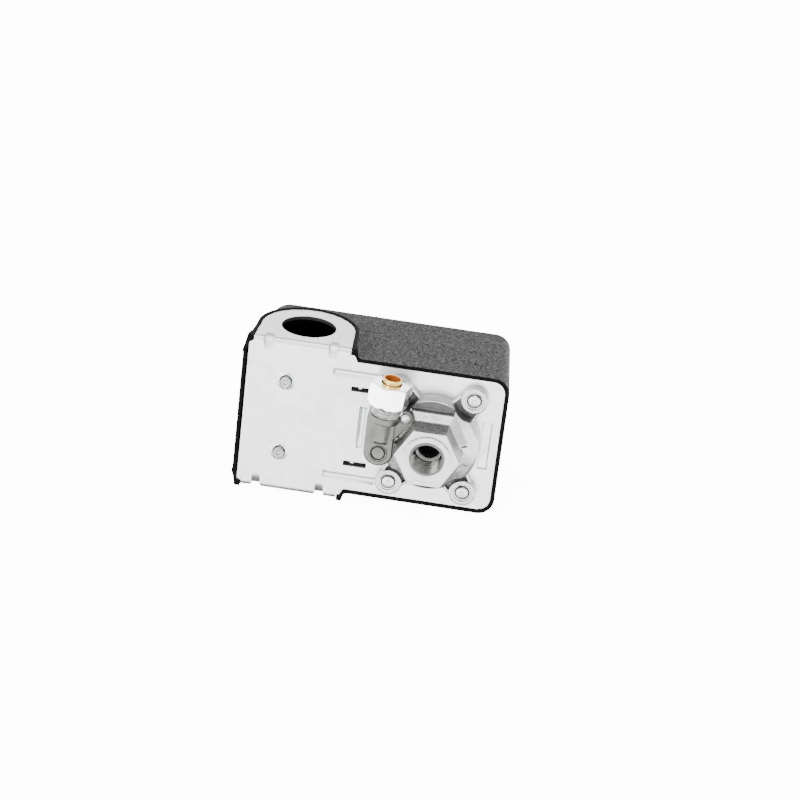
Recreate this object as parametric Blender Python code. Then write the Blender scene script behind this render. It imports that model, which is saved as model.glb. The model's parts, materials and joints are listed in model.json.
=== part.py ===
"""Compressor pressure switch, built as the separate pieces it comes apart into.

Frame: +X runs along the base plate from the wiring end to the pressure port,
+Y runs from the port into the cover, +Z runs from the lower conduit ear to
the upper one. The origin is the centre of the pressure port's mouth.
Dimensions are in millimetres; UNIT turns them into metres.
"""
import math

import bmesh
import bpy
from mathutils import Matrix, Vector

UNIT = 0.001
GAP = 0.3                      # clearance kept between touching pieces

# ---- base plate -------------------------------------------------------------
PLATE_FACE = 21.0              # outer face, measured back from the port mouth
PLATE_THICK = 1.6
PLATE_BACK = PLATE_FACE + PLATE_THICK
PLATE_LEFT = -77.5
PLATE_RIGHT = 26.7
PLATE_HALF = 28.2              # half width of the port end
PLATE_CORNER = 5.0
STEP_X = -33.1                 # where the plate widens to the conduit ears
EAR_LEFT = -75.5
EAR_RIGHT = -36.1
EAR_FACE = 33.2                # outer face of each ear from the mid-plane
EAR_TIP = 56.5
EAR_X = 0.5 * (EAR_LEFT + EAR_RIGHT)
EAR_HOLE_Y = 38.4
EAR_HOLE_R = 11.1              # knock-out for a half-inch conduit fitting
BEND_R = 2.2
BEND_STEPS = 4
BEND_START = EAR_FACE - BEND_R
BEND_LENGTH = 0.5 * math.pi * (BEND_R - 0.5 * PLATE_THICK)
SLOT_Z = 16.5
SLOT_HALF = 1.05
SLOT_LEFT = -34.5
SLOT_RIGHT = -25.0
RIB_DEPTH = 0.6

# ---- pressure end -----------------------------------------------------------
BOSS_X = 15.1
BOSS_Z = 20.3
BOSS_R = 5.4
SCREW_R = 2.65                 # flange screws
SCREW_HOLE = SCREW_R + GAP
HEX_HALF = 11.5                # half across flats of the port hexagon
DOME_R = 19.8
DOME_FACE = 13.5
DIAPHRAGM_R = 12.6
DIAPHRAGM_FRONT = 19.5
DIAPHRAGM_THICK = 0.9
PISTON_R = 9.0
PORT_R = 6.2
PORT_STEP = 12.5               # depth of the threaded part of the port
PORT_INNER = 4.6

# ---- cover ------------------------------------------------------------------
WALL = 1.5
COVER_FRONT = 20.7
COVER_BACK = 75.9
COVER_HALF = 30.0
COVER_DRAFT = 0.059            # how far each side leans in per millimetre of depth
COVER_EDGE = 1.5               # rounding of the back edge
FRONT_CORNERS = (4.5, 6.8)     # corner radii at the wiring end and at the port end
BACK_CORNERS = (8.9, 7.8)
COVER_LEFT = PLATE_LEFT - GAP - WALL
COVER_RIGHT = PLATE_RIGHT + GAP + WALL
SURROUND_TOP = 33.6
SURROUND_BASE = COVER_HALF - 3.5

# ---- inner mechanism --------------------------------------------------------
FRAME_BACK = 24.5
LEVER_FACE = 30.6
LEVER_BACK = 32.2
LEVER_END = -26.0
LEVER_RIGHT = 23.0
LEVER_PIVOT = (21.0, 28.0)     # X and Y of the hinge pin
LEVER_PIN_R = 1.45
LEVER_PIN_HOLE = LEVER_PIN_R + GAP
RANGE_X = -17.0
STUD_R = 2.45                  # range stud
STUD_END = COVER_BACK + 6.0
DIFF_X = -22.4
DIFF_Z = 9.2
DIFF_R = 1.9                   # differential stud
PLUNGER = (-20.2, -5.0)        # X and Z of the unloader plunger
PLUNGER_HOLE = 1.9
CARRIER_PIVOT = (-28.3, 40.0)
CARRIER_PIN_R = 1.15
CARRIER_PIN_HOLE = CARRIER_PIN_R + GAP
CONTACT_X = -38.5
CONTACT_TOP = 32.6             # faces of the fixed contacts
TERMINAL_X = -48.0
TERMINAL_Z = (14.0, 4.8, -4.8, -14.0)
TERMINAL_HOLE = 2.1
BLOCK_FACE = 30.0
BLOCK_LEFT = -53.5
GROUND_X = -60.9
GROUND_Z = 15.6
GROUND_R = 2.25                # thread of the ground screws

# ---- unloader fitting -------------------------------------------------------
FITTING_BASE = (-19.1, 9.6, 10.9)
FITTING_TILT = math.radians(4.8)
NUT_LOW = 6.2                  # ends of the compression nut along the tilted axis
NUT_HIGH = 15.6
NUT_HALF = 7.3                 # half across flats
NUT_TURN = -13.0               # degrees from +X to one of its flats
COLLAR_R = 6.0
LUG_SCREW = (-10.9, 12.0)      # X and Z
LUG_SCREW_R = 1.3
LUG_FRONT = 10.6
LUG = [(-13.2, 5.6), (-10.2, 6.6), (-6.7, 10.8), (-9.3, 14.3), (-13.6, 14.6)]

MATERIALS = {
    "zinc_plated_steel": ((0.72, 0.74, 0.73), 0.38, 0.9),
    "bright_steel": ((0.62, 0.62, 0.61), 0.3, 1.0),
    "cast_zinc": ((0.66, 0.66, 0.65), 0.42, 0.9),
    "black_plastic": ((0.045, 0.045, 0.048), 0.6, 0.0),
    "grey_cover": ((0.11, 0.11, 0.11), 0.75, 0.0),
    "spring_steel": ((0.5, 0.5, 0.5), 0.32, 1.0),
    "nickel": ((0.82, 0.82, 0.82), 0.22, 1.0),
    "brass": ((0.72, 0.5, 0.2), 0.28, 1.0),
    "copper": ((0.72, 0.42, 0.28), 0.3, 1.0),
    "rubber": ((0.03, 0.03, 0.03), 0.8, 0.0),
    "green_steel": ((0.12, 0.36, 0.18), 0.4, 0.6),
}


def clear_scene():
    for thing in list(bpy.data.objects):
        bpy.data.objects.remove(thing, do_unlink=True)


def material(name):
    found = bpy.data.materials.get(name)
    if found:
        return found
    colour, roughness, metallic = MATERIALS[name]
    made = bpy.data.materials.new(name)
    made.use_nodes = True
    shader = made.node_tree.nodes["Principled BSDF"]
    shader.inputs["Base Color"].default_value = (*colour, 1.0)
    shader.inputs["Roughness"].default_value = roughness
    shader.inputs["Metallic"].default_value = metallic
    return made


def finish(name, bm, look, pivot=(0.0, 0.0, 0.0)):
    """Turn a bmesh in millimetres into an object whose origin is its pivot."""
    bmesh.ops.recalc_face_normals(bm, faces=bm.faces)
    shift = Matrix.Scale(UNIT, 4) @ Matrix.Translation(-Vector(pivot))
    bmesh.ops.transform(bm, matrix=shift, verts=bm.verts)
    mesh = bpy.data.meshes.new(name)
    bm.to_mesh(mesh)
    bm.free()
    mesh.shade_smooth()
    mesh.set_sharp_from_angle(angle=math.radians(32))
    mesh.materials.append(material(look))
    made = bpy.data.objects.new(name, mesh)
    made.location = Vector(pivot) * UNIT
    bpy.context.scene.collection.objects.link(made)
    return made


def guide(bm, look):
    """An operand for a Boolean; it is not a piece of the switch."""
    made = finish("guide", bm, look)
    made.hide_render = True
    made.display_type = "WIRE"
    return made


def combine(target, bm, operation):
    step = target.modifiers.new(operation.lower(), "BOOLEAN")
    step.operation = operation
    step.solver = "EXACT"
    step.object = guide(bm, target.data.materials[0].name)


def cut(target, *shapes):
    for shape in shapes:
        combine(target, shape, "DIFFERENCE")


def add(target, *shapes):
    for shape in shapes:
        combine(target, shape, "UNION")


# ---- outlines ---------------------------------------------------------------
def arc(centre, radius, start, end, steps):
    """Points on a circle from one angle to another, in degrees."""
    points = []
    for i in range(steps + 1):
        angle = math.radians(start + (end - start) * i / steps)
        points.append((centre[0] + radius * math.cos(angle), centre[1] + radius * math.sin(angle)))
    return points


def circle(centre, radius, steps=24):
    return arc(centre, radius, 0.0, 360.0, steps)[:-1]


def polygon(centre, half_flats, sides=6, turn=0.0):
    corner = half_flats / math.cos(math.pi / sides)
    start = turn + 180.0 / sides
    return arc(centre, corner, start, start + 360.0, sides)[:-1]


def box(low, high):
    return [(low[0], low[1]), (high[0], low[1]), (high[0], high[1]), (low[0], high[1])]


def round_box(low, high, radii, steps=5):
    """Rectangle whose corners, from the low one anticlockwise, have their own radii."""
    corners = ((low[0], low[1], 1, 1), (high[0], low[1], -1, 1),
               (high[0], high[1], -1, -1), (low[0], high[1], 1, -1))
    points = []
    for (x, y, sx, sy), radius, start in zip(corners, radii, (180, 270, 0, 90)):
        points += arc((x + sx * radius, y + sy * radius), radius, start, start + 90, steps)
    return points


def flip(points):
    return [(a, -b) for a, b in reversed(points)]


# ---- solids -----------------------------------------------------------------
PLACES = {
    "X": lambda a, b, h: (h, a, b),
    "Y": lambda a, b, h: (a, h, b),
    "Z": lambda a, b, h: (a, b, h),
}


def prism(axis, low, high, outline, *holes):
    """Extrude an outline, with any holes in it, along one axis."""
    place = PLACES[axis]
    bm = bmesh.new()
    edges = []
    for loop in (outline, *holes):
        verts = [bm.verts.new(place(a, b, low)) for a, b in loop]
        edges += [bm.edges.new((verts[i - 1], verts[i])) for i in range(len(verts))]
    bmesh.ops.triangle_fill(bm, use_beauty=True, edges=edges)
    side = bmesh.ops.extrude_face_region(bm, geom=list(bm.faces), use_keep_orig=True)
    moved = [item for item in side["geom"] if isinstance(item, bmesh.types.BMVert)]
    bmesh.ops.translate(bm, vec=place(0.0, 0.0, high - low), verts=moved)
    return bm


def loft(rings):
    """Skin a stack of closed rings that have equal point counts, capped at both ends."""
    bm = bmesh.new()
    stack = [[bm.verts.new(point) for point in ring] for ring in rings]
    count = len(stack[0])
    for lower, upper in zip(stack, stack[1:]):
        for i in range(count):
            bm.faces.new((lower[i - 1], lower[i], upper[i], upper[i - 1]))
    bm.faces.new(stack[0])
    bm.faces.new(stack[-1])
    return bm


def turned(axis, centre, profile, steps=24, closed=False):
    """Revolve (radius, height) points about a line along one axis."""
    place = PLACES[axis]
    rings = []
    for radius, height in profile:
        rings.append([place(a, b, height) for a, b in circle(centre, radius, steps)])
    if not closed:
        return loft(rings)
    bm = bmesh.new()
    stack = [[bm.verts.new(point) for point in ring] for ring in rings]
    for k in range(len(stack)):
        lower, upper = stack[k - 1], stack[k]
        for i in range(steps):
            bm.faces.new((lower[i - 1], lower[i], upper[i], upper[i - 1]))
    return bm


def coil(axis, centre, low, high, radius, wire, turns, around=12, sides=6):
    """Round-wire compression spring standing on one axis."""
    place = PLACES[axis]
    count = int(turns * around)
    path = []
    for i in range(count + 1):
        share = i / count
        angle = 2.0 * math.pi * turns * share
        height = low + wire + (high - low - 2.0 * wire) * share
        a = centre[0] + radius * math.cos(angle)
        b = centre[1] + radius * math.sin(angle)
        path.append(Vector(place(a, b, height)))
    rise = Vector(place(0.0, 0.0, 1.0))
    rings = []
    for i, point in enumerate(path):
        along = (path[min(i + 1, count)] - path[max(i - 1, 0)]).normalized()
        out = along.cross(rise).normalized()
        up = out.cross(along)
        ring = []
        for k in range(sides):
            turn = 2.0 * math.pi * k / sides
            ring.append(point + wire * (out * math.cos(turn) + up * math.sin(turn)))
        rings.append(ring)
    return loft(rings)


def tilted(bm):
    """Lean a shape that stands on the fitting's base along its tilted axis."""
    base = Vector(FITTING_BASE)
    turn = Matrix.Rotation(FITTING_TILT, 4, "Y")
    bmesh.ops.transform(bm, matrix=Matrix.Translation(base) @ turn, verts=bm.verts)
    return bm


# ---- base plate and cover ---------------------------------------------------
def ear_pattern():
    """Upper half of the plate's flat pattern, from the port end to the wiring end."""
    rise = BEND_START + BEND_LENGTH
    tip = rise + EAR_TIP - PLATE_FACE - BEND_R
    half = 0.5 * (EAR_RIGHT - EAR_LEFT)
    shoulder = tip - 0.95 * half
    head = arc((EAR_X, shoulder), half - 0.8, 0.0, 180.0, 14)
    head = [(x, shoulder + (z - shoulder) * (tip - shoulder) / (half - 0.8)) for x, z in head]
    right = arc((PLATE_RIGHT - PLATE_CORNER, PLATE_HALF - PLATE_CORNER), PLATE_CORNER, 0.0, 90.0, 5)
    steps = [(STEP_X, PLATE_HALF), (STEP_X - 1.5, BEND_START), (EAR_RIGHT, BEND_START)]
    left = [(EAR_LEFT, BEND_START), (EAR_LEFT - 0.8, BEND_START), (PLATE_LEFT, BEND_START - 0.9)]
    return right + steps + head + left


def fold(bm, side):
    """Bend the sheet beyond the bend line up into a conduit ear."""
    for i in range(BEND_STEPS + 1):
        line = side * (BEND_START + BEND_LENGTH * i / BEND_STEPS)
        everything = list(bm.verts) + list(bm.edges) + list(bm.faces)
        bmesh.ops.bisect_plane(bm, geom=everything, plane_co=(0.0, 0.0, line), plane_no=(0.0, 0.0, 1.0))
    for vert in bm.verts:
        along = side * vert.co.z - BEND_START
        if along <= 0.0:
            continue
        depth = BEND_R - (vert.co.y - PLATE_FACE)
        angle = min(along / BEND_LENGTH, 1.0) * 0.5 * math.pi
        height = max(along - BEND_LENGTH, 0.0)
        vert.co.z = side * (BEND_START + depth * math.sin(angle))
        vert.co.y = PLATE_FACE + BEND_R - depth * math.cos(angle) + height


def base_plate():
    upper = ear_pattern()
    outline = upper + flip(upper)
    hole_height = BEND_START + BEND_LENGTH + EAR_HOLE_Y - PLATE_FACE - BEND_R
    holes = [circle((0.0, 0.0), PISTON_R + 0.5, 28)]
    for side in (1, -1):
        holes.append(circle((EAR_X, side * hole_height), EAR_HOLE_R, 28))
        holes.append(round_box((SLOT_LEFT, side * SLOT_Z - SLOT_HALF),
                               (SLOT_RIGHT, side * SLOT_Z + SLOT_HALF), (0.15, 0.9, 0.9, 0.15), 3))
        holes.append(circle((GROUND_X, side * GROUND_Z), GROUND_R + 0.35, 14))
        for x in (-BOSS_X, BOSS_X):
            holes.append(circle((x, side * BOSS_Z), SCREW_HOLE, 14))
    holes.append(circle(PLUNGER, PLUNGER_HOLE, 12))
    sheet = prism("Y", PLATE_FACE, PLATE_BACK, outline, *holes)
    for side in (1, -1):
        fold(sheet, side)
    plate = finish("base_plate", sheet, "zinc_plated_steel")
    groove_front = PLATE_FACE - 1.0
    groove_back = PLATE_FACE + RIB_DEPTH
    ribs = [round_box((-42.2, 21.1), (-20.6, 24.5), (1.6,) * 4, 3),
            round_box((-42.2, -24.5), (-20.6, -21.1), (1.6,) * 4, 3),
            box((-30.2, -8.8), (-27.4, 8.8)),
            box((19.9, -10.0), (23.0, 10.0))]
    for rib in ribs:
        cut(plate, prism("Y", groove_front, groove_back, rib))
    return plate


def ear_arch(margin, tip):
    """Outline round an ear in X and Y, open end at the cover's front edge."""
    half = 0.5 * (EAR_RIGHT - EAR_LEFT) + margin
    shoulder = EAR_TIP - 0.95 * 0.5 * (EAR_RIGHT - EAR_LEFT)
    head = arc((EAR_X, shoulder), half, 0.0, 180.0, 14)
    head = [(x, shoulder + (y - shoulder) * (tip - shoulder) / half) for x, y in head]
    front = COVER_FRONT - 1.0
    return [(EAR_X + half, front)] + head + [(EAR_X - half, front)]


def shell_ring(wall, y):
    """Cover outline at one depth: its sides lean in and its corners grow rounder."""
    share = (y - COVER_FRONT) / (COVER_BACK - COVER_FRONT)
    left, right = (front + (back - front) * share - wall
                   for front, back in zip(FRONT_CORNERS, BACK_CORNERS))
    inset = wall + COVER_DRAFT * (y - COVER_FRONT)
    outline = round_box((COVER_LEFT + inset, -COVER_HALF + inset),
                        (COVER_RIGHT - inset, COVER_HALF - inset), (left, right, right, left))
    return [(x, y, z) for x, z in outline]


def cover():
    """Moulded box with a raised surround round each ear and a hole for the range stud."""
    shoulder = COVER_BACK - COVER_EDGE
    outer = [shell_ring(0.0, COVER_FRONT), shell_ring(0.0, shoulder)]
    for degrees in (30, 60, 90):
        turn = math.radians(degrees)
        outer.append(shell_ring(COVER_EDGE * (1 - math.cos(turn)), shoulder + COVER_EDGE * math.sin(turn)))
    shell = finish("cover", loft(outer), "grey_cover")
    for side in (1, -1):
        rings = []
        for margin, height in ((3.0, SURROUND_BASE), (1.6, SURROUND_TOP)):
            arch = ear_arch(margin, EAR_TIP + margin)
            arch[0] = (arch[0][0], COVER_FRONT)
            arch[-1] = (arch[-1][0], COVER_FRONT)
            rings.append([(x, y, side * height) for x, y in arch])
        add(shell, loft(rings))
    cavity = [shell_ring(WALL, COVER_FRONT - 1.0), shell_ring(WALL, shoulder - WALL),
              shell_ring(WALL + 1.0, COVER_BACK - WALL)]
    cut(shell, loft(cavity))
    beyond = SURROUND_TOP + 5.0
    cut(shell, prism("Z", -beyond, beyond, ear_arch(GAP, EAR_TIP + GAP)))
    seat_low = PLATE_HALF - 6.0
    seat = [(STEP_X, PLATE_HALF + GAP), (STEP_X - 1.4, BEND_START + GAP),
            (EAR_LEFT - 1.2, BEND_START + GAP), (PLATE_LEFT - GAP, BEND_START - 0.6),
            (PLATE_LEFT - GAP, seat_low), (STEP_X, seat_low)]
    for side in (1, -1):
        recess = [(x, side * z) for x, z in seat]
        cut(shell, prism("Y", COVER_FRONT - 1.0, PLATE_BACK + GAP, recess))
    stud_hole = circle((RANGE_X, 0.0), STUD_R + 0.65, 14)
    cut(shell, prism("Y", COVER_BACK - 5.0, COVER_BACK + 1.0, stud_hole))
    return shell


# ---- pressure end -----------------------------------------------------------
def flange_casting():
    """Die-cast flange: a dome on four screw bosses, with the hexagonal port on top."""
    boss_front = PLATE_FACE - 3.9
    foot_back = PLATE_FACE - GAP
    dome = [(DOME_R + 0.9, foot_back), (DOME_R + 0.7, 17.4), (DOME_R, 14.6), (DOME_R - 1.2, DOME_FACE),
            (8.0, DOME_FACE)]
    casting = finish("flange_casting", turned("Y", (0.0, 0.0), dome, 40), "cast_zinc")
    reach = 1 + 3.2 / math.hypot(BOSS_X, BOSS_Z)
    corners = [(side_x, side_z) for side_x in (-1, 1) for side_z in (-1, 1)]
    for side_x, side_z in corners:
        foot = [(side_x * 4.0, side_z * 17.2), (side_x * 13.2, side_z * 10.5),
                (side_x * BOSS_X * reach, side_z * (BOSS_Z - 4.2)),
                (side_x * (BOSS_X - 4.2), side_z * BOSS_Z * reach)]
        add(casting, prism("Y", boss_front + 1.1, foot_back, foot))
        boss = [(BOSS_R, foot_back), (BOSS_R - 0.2, boss_front), (2.0, boss_front)]
        add(casting, turned("Y", (side_x * BOSS_X, side_z * BOSS_Z), boss, 22))
    for sections in (((HEX_HALF + 3.0, 14.0), (HEX_HALF + 3.0, 12.9), (HEX_HALF, 10.0)),
                     ((HEX_HALF, 12.0), (HEX_HALF, 0.5), (HEX_HALF - 0.5, 0.0))):
        rings = [[(x, y, z) for x, z in polygon((0.0, 0.0), half, turn=30.0)] for half, y in sections]
        add(casting, loft(rings))
    relief = [(-13.7, -12.6), (-13.7, -5.0), (-12.8, 6.0), (-12.8, 12.0), (-40.0, 12.0), (-40.0, -12.6)]
    cut(casting, prism("Y", 9.0, foot_back + 1.0, relief))
    chamber_r = DIAPHRAGM_R - 2.4
    chamber_front = DIAPHRAGM_FRONT - 2.5
    chamber_back = DIAPHRAGM_FRONT - GAP
    bore = [(PORT_R + 0.8, -1.0), (PORT_R + 0.8, 0.0), (PORT_R, 0.9), (PORT_R - 0.6, PORT_STEP),
            (PORT_INNER, PORT_STEP), (PORT_INNER, chamber_front), (chamber_r, chamber_front),
            (chamber_r, chamber_back), (DIAPHRAGM_R + GAP, chamber_back),
            (DIAPHRAGM_R + GAP, foot_back + 1.0)]
    cut(casting, turned("Y", (0.0, 0.0), bore, 28))
    counterbore = boss_front + 0.7
    for side_x, side_z in corners:
        hole = [(3.6, boss_front - 1.0), (3.6, counterbore), (SCREW_HOLE, counterbore),
                (SCREW_HOLE, foot_back + 1.0)]
        cut(casting, turned("Y", (side_x * BOSS_X, side_z * BOSS_Z), hole, 16))
    cut(casting, prism("Y", 12.0, 16.2, circle(LUG_SCREW, LUG_SCREW_R + GAP, 12)))
    centre = Vector(LUG_SCREW)
    clear = [tuple(centre + (Vector(point) - centre) * 1.08) for point in LUG]
    cut(casting, prism("Y", 5.0, DOME_FACE, clear))
    nut_room = [(8.9, -3.0), (8.9, 17.0)]
    cut(casting, tilted(turned("Z", (0.0, 0.0), nut_room, 24)))
    return casting


def diaphragm():
    """Flexible disc clamped at its rim, dished slightly where the piston sits."""
    back = DIAPHRAGM_FRONT + DIAPHRAGM_THICK
    dish = 0.15
    profile = [(8.0, DIAPHRAGM_FRONT + dish), (9.5, DIAPHRAGM_FRONT), (DIAPHRAGM_R, DIAPHRAGM_FRONT),
               (DIAPHRAGM_R, back), (9.5, back), (8.0, back + dish)]
    return finish("diaphragm", turned("Y", (0.0, 0.0), profile, 28), "rubber")


def piston():
    top = LEVER_FACE - GAP
    back = DIAPHRAGM_FRONT + DIAPHRAGM_THICK + GAP
    profile = [(PISTON_R, back), (PISTON_R, 25.0), (PISTON_R - 0.8, 25.8), (5.0, 26.2), (5.0, top - 0.6),
               (4.4, top)]
    return finish("piston", turned("Y", (0.0, 0.0), profile, 28), "cast_zinc")


def flange_screws():
    for i, (side_x, side_z) in enumerate(((-1, 1), (1, 1), (-1, -1), (1, -1)), 1):
        end = 18.3 if i == 1 else 16.9     # the first is shorter, to clear the compression nut
        head = FRAME_BACK + GAP
        profile = [(SCREW_R - 0.45, end), (SCREW_R, end + 0.5), (SCREW_R, head), (3.9, head),
                   (3.9, head + 2.4), (3.2, head + 3.2)]
        centre = (side_x * BOSS_X, side_z * BOSS_Z)
        finish(f"flange_screw_{i}", turned("Y", centre, profile, 16), "bright_steel")


# ---- lever, springs and adjusters -------------------------------------------
def inner_frame():
    base_low = PLATE_BACK + GAP
    holes = [circle((0.0, 0.0), PISTON_R + 0.5, 28), circle(PLUNGER, PLUNGER_HOLE, 12),
             circle((RANGE_X, 0.0), STUD_R + GAP, 12), circle((DIFF_X, DIFF_Z), DIFF_R + GAP, 12)]
    for x in (-BOSS_X, BOSS_X):
        for z in (-BOSS_Z, BOSS_Z):
            holes.append(circle((x, z), SCREW_HOLE, 14))
    outline = round_box((-24.4, -25.4), (25.0, 25.4), (2.0, 4.5, 4.5, 2.0), 3)
    frame = finish("inner_frame", prism("Y", base_low, FRAME_BACK, outline, *holes), "zinc_plated_steel")
    pin = circle(LEVER_PIVOT, LEVER_PIN_HOLE, 12)
    wall = [(-4.0, FRAME_BACK - 0.8), (24.6, FRAME_BACK - 0.8), (24.6, 32.5), (22.6, 34.0),
            (-1.0, 34.0), (-4.0, 31.0)]
    for side in (-1, 1):
        low, high = sorted((side * 14.7, side * 16.1))
        add(frame, prism("Z", low, high, wall, pin))
    return frame


def operating_lever():
    pivot = (*LEVER_PIVOT, 0.0)
    sheet = prism("Y", LEVER_FACE, LEVER_BACK, box((LEVER_END, -13.2), (LEVER_RIGHT, 13.2)),
                  circle((RANGE_X, 0.0), 3.6, 14), circle((DIFF_X, DIFF_Z), 2.5, 12))
    lever = finish("operating_lever", sheet, "zinc_plated_steel", pivot)
    middle = 0.5 * (LEVER_FACE + LEVER_BACK)
    flange = [(-13.0, middle), (-13.0, 29.4), (-9.0, 27.6), (17.6, 27.6), (17.6, 25.8),
              (LEVER_RIGHT, 25.8), (LEVER_RIGHT, middle)]
    for side in (-1, 1):
        low, high = sorted((side * 11.8, side * 13.2))
        add(lever, prism("Z", low, high, flange, circle(LEVER_PIVOT, LEVER_PIN_HOLE, 12)))
    add(lever, prism("Z", -3.0, 3.0, box((LEVER_END, middle), (LEVER_END + 1.4, 36.6))))
    return lever


def pins():
    """Hinge pins of the lever and of the contact carrier."""
    for name, pivot, radius, half in (("lever_pin", LEVER_PIVOT, LEVER_PIN_R, 17.2),
                                      ("carrier_pin", CARRIER_PIVOT, CARRIER_PIN_R, 19.4)):
        edge = radius - 0.4
        profile = [(edge, -half), (radius, -half + 0.4), (radius, half - 0.4), (edge, half)]
        finish(name, turned("Z", pivot, profile, 14), "bright_steel")


def stud(name, centre, radius, collar, end):
    """Threaded stud whose collar rests on the frame and whose foot is riveted into it."""
    foot = PLATE_BACK + 0.6
    seat = FRAME_BACK + GAP
    profile = [(radius, foot), (radius, seat), (collar, seat), (collar, seat + 1.4), (radius, seat + 1.4),
               (radius, end - 0.5), (radius - 0.45, end)]
    finish(name, turned("Y", centre, profile, 14), "bright_steel")


def adjusters():
    """Range and differential studs with their springs, seats and nuts."""
    centre = (RANGE_X, 0.0)
    seat_front = 48.9
    rim = seat_front + 1.0
    seat_back = rim + 1.4
    nut_front = seat_back + GAP
    stud("range_stud", centre, STUD_R, STUD_R + 0.65, STUD_END)
    spring = coil("Y", centre, LEVER_BACK + GAP, seat_front - GAP, 6.0, 0.9, 5.5)
    finish("range_spring", spring, "spring_steel")
    seat = [(2.8, seat_front), (8.0, seat_front), (8.0, rim), (5.6, rim), (5.6, seat_back), (2.8, seat_back)]
    finish("range_seat", turned("Y", centre, seat, 24, closed=True), "zinc_plated_steel", (RANGE_X, 0.0, 0.0))
    nut = prism("Y", nut_front, nut_front + 4.2, polygon(centre, 4.7), circle(centre, STUD_R + GAP, 12))
    finish("range_nut", nut, "bright_steel", (RANGE_X, 0.0, 0.0))
    centre = (DIFF_X, DIFF_Z)
    nut_front = 43.9
    stud("differential_stud", centre, DIFF_R, DIFF_R + 0.6, 52.0)
    spring = coil("Y", centre, LEVER_BACK + GAP, nut_front - GAP, 2.8, 0.4, 6.5, 10, 6)
    finish("differential_spring", spring, "spring_steel")
    nut = prism("Y", nut_front, nut_front + 3.3, polygon(centre, 3.4), circle(centre, DIFF_R + GAP, 12))
    finish("differential_nut", nut, "bright_steel", (DIFF_X, 0.0, DIFF_Z))


def cover_nut():
    """Acorn nut on the end of the range stud, which holds the cover on."""
    centre = (RANGE_X, 0.0)
    low = COVER_BACK + GAP
    nut = finish("cover_nut", prism("Y", low, low + 3.6, polygon(centre, 5.5)), "nickel", (RANGE_X, 0.0, 0.0))
    dome = [(4.9, low + 1.0), (4.9, low + 4.2), (4.3, low + 6.4), (2.9, low + 7.9), (1.0, low + 8.6)]
    add(nut, turned("Y", centre, dome, 20))
    cut(nut, prism("Y", low - 1.0, STUD_END + 0.5, circle(centre, STUD_R + GAP, 12)))
    return nut


# ---- contacts ---------------------------------------------------------------
def contact_block():
    base_low = PLATE_BACK + GAP
    slab = prism("Y", base_low, BLOCK_FACE, box((BLOCK_LEFT, -19.2), (-25.2, 19.2)))
    block = finish("contact_block", slab, "black_plastic")
    for z in (18.5, 9.4, 0.0, -9.4, -18.5):
        barrier = box((BLOCK_LEFT, z - 0.65), (-43.4, z + 0.65))
        add(block, prism("Y", BLOCK_FACE - 1.0, 36.6, barrier))
    post = [(-31.0, BLOCK_FACE - 1.0), (-25.4, BLOCK_FACE - 1.0), (-25.9, 41.4), (-27.2, 42.6),
            (-29.4, 42.6), (-30.7, 41.4)]
    for side in (-1, 1):
        low, high = sorted((side * 17.5, side * 19.1))
        add(block, prism("Z", low, high, post, circle(CARRIER_PIVOT, CARRIER_PIN_HOLE, 12)))
        foot_edge = SLOT_HALF - GAP
        foot = box((SLOT_LEFT + GAP, side * SLOT_Z - foot_edge),
                   (SLOT_RIGHT - 1.1, side * SLOT_Z + foot_edge))
        add(block, prism("Y", PLATE_FACE + 0.9, base_low + 1.0, foot))
    for z in TERMINAL_Z:
        cut(block, prism("Y", 24.2, BLOCK_FACE + 1.0, circle((TERMINAL_X, z), TERMINAL_HOLE, 12)))
    return block


def terminals():
    """Four fixed contacts, each with a slotted screw and a clamp for its wire."""
    strip_low = BLOCK_FACE + GAP
    strip_high = strip_low + 1.2
    clamp_low = strip_high + 0.4
    clamp_high = clamp_low + 1.2
    head_low = clamp_high + GAP
    slot_floor = head_low + 1.4
    for i, z in enumerate(TERMINAL_Z, 1):
        centre = (TERMINAL_X, z)
        pivot = (TERMINAL_X, 0.0, z)
        hole = circle(centre, TERMINAL_HOLE, 12)
        outline = round_box((-52.6, z - 3.8), (-35.6, z + 3.8), (0.8,) * 4, 2)
        plate = finish(f"terminal_plate_{i}", prism("Y", strip_low, strip_high, outline, hole), "copper")
        button = [(2.1, strip_low + 0.5), (2.1, CONTACT_TOP - 0.3), (1.6, CONTACT_TOP)]
        add(plate, turned("Y", (CONTACT_X, z), button, 16))
        outline = round_box((-51.6, z - 3.6), (-44.4, z + 3.6), (0.6,) * 4, 2)
        clamp = prism("Y", clamp_low, clamp_high, outline, hole)
        finish(f"wire_clamp_{i}", clamp, "zinc_plated_steel", pivot)
        screw = [(1.75, 24.6), (1.75, head_low), (3.3, head_low), (3.3, head_low + 1.6),
                 (2.6, head_low + 2.5)]
        head = finish(f"terminal_screw_{i}", turned("Y", centre, screw, 16), "bright_steel", pivot)
        slot = box((TERMINAL_X - 4.0, z - 0.45), (TERMINAL_X + 4.0, z + 0.45))
        cut(head, prism("Y", slot_floor, slot_floor + 2.0, slot))


def moving_contacts():
    """Contact bridges, each of which joins two terminals when the switch is closed."""
    pivot = (*CARRIER_PIVOT, 0.0)
    face = CONTACT_TOP + GAP
    for i, (first, last) in enumerate((TERMINAL_Z[:2], TERMINAL_Z[2:]), 1):
        outline = round_box((CONTACT_X - 2.1, last - 2.4), (CONTACT_X + 2.1, first + 2.4), (1.0,) * 4, 2)
        strip = prism("Y", face + 1.2, face + 2.2, outline)
        bridge = finish(f"moving_contact_{i}", strip, "copper", pivot)
        for z in (first, last):
            button = [(1.6, face), (2.0, face + 0.3), (2.0, face + 1.7)]
            add(bridge, turned("Y", (CONTACT_X, z), button, 16))


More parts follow.
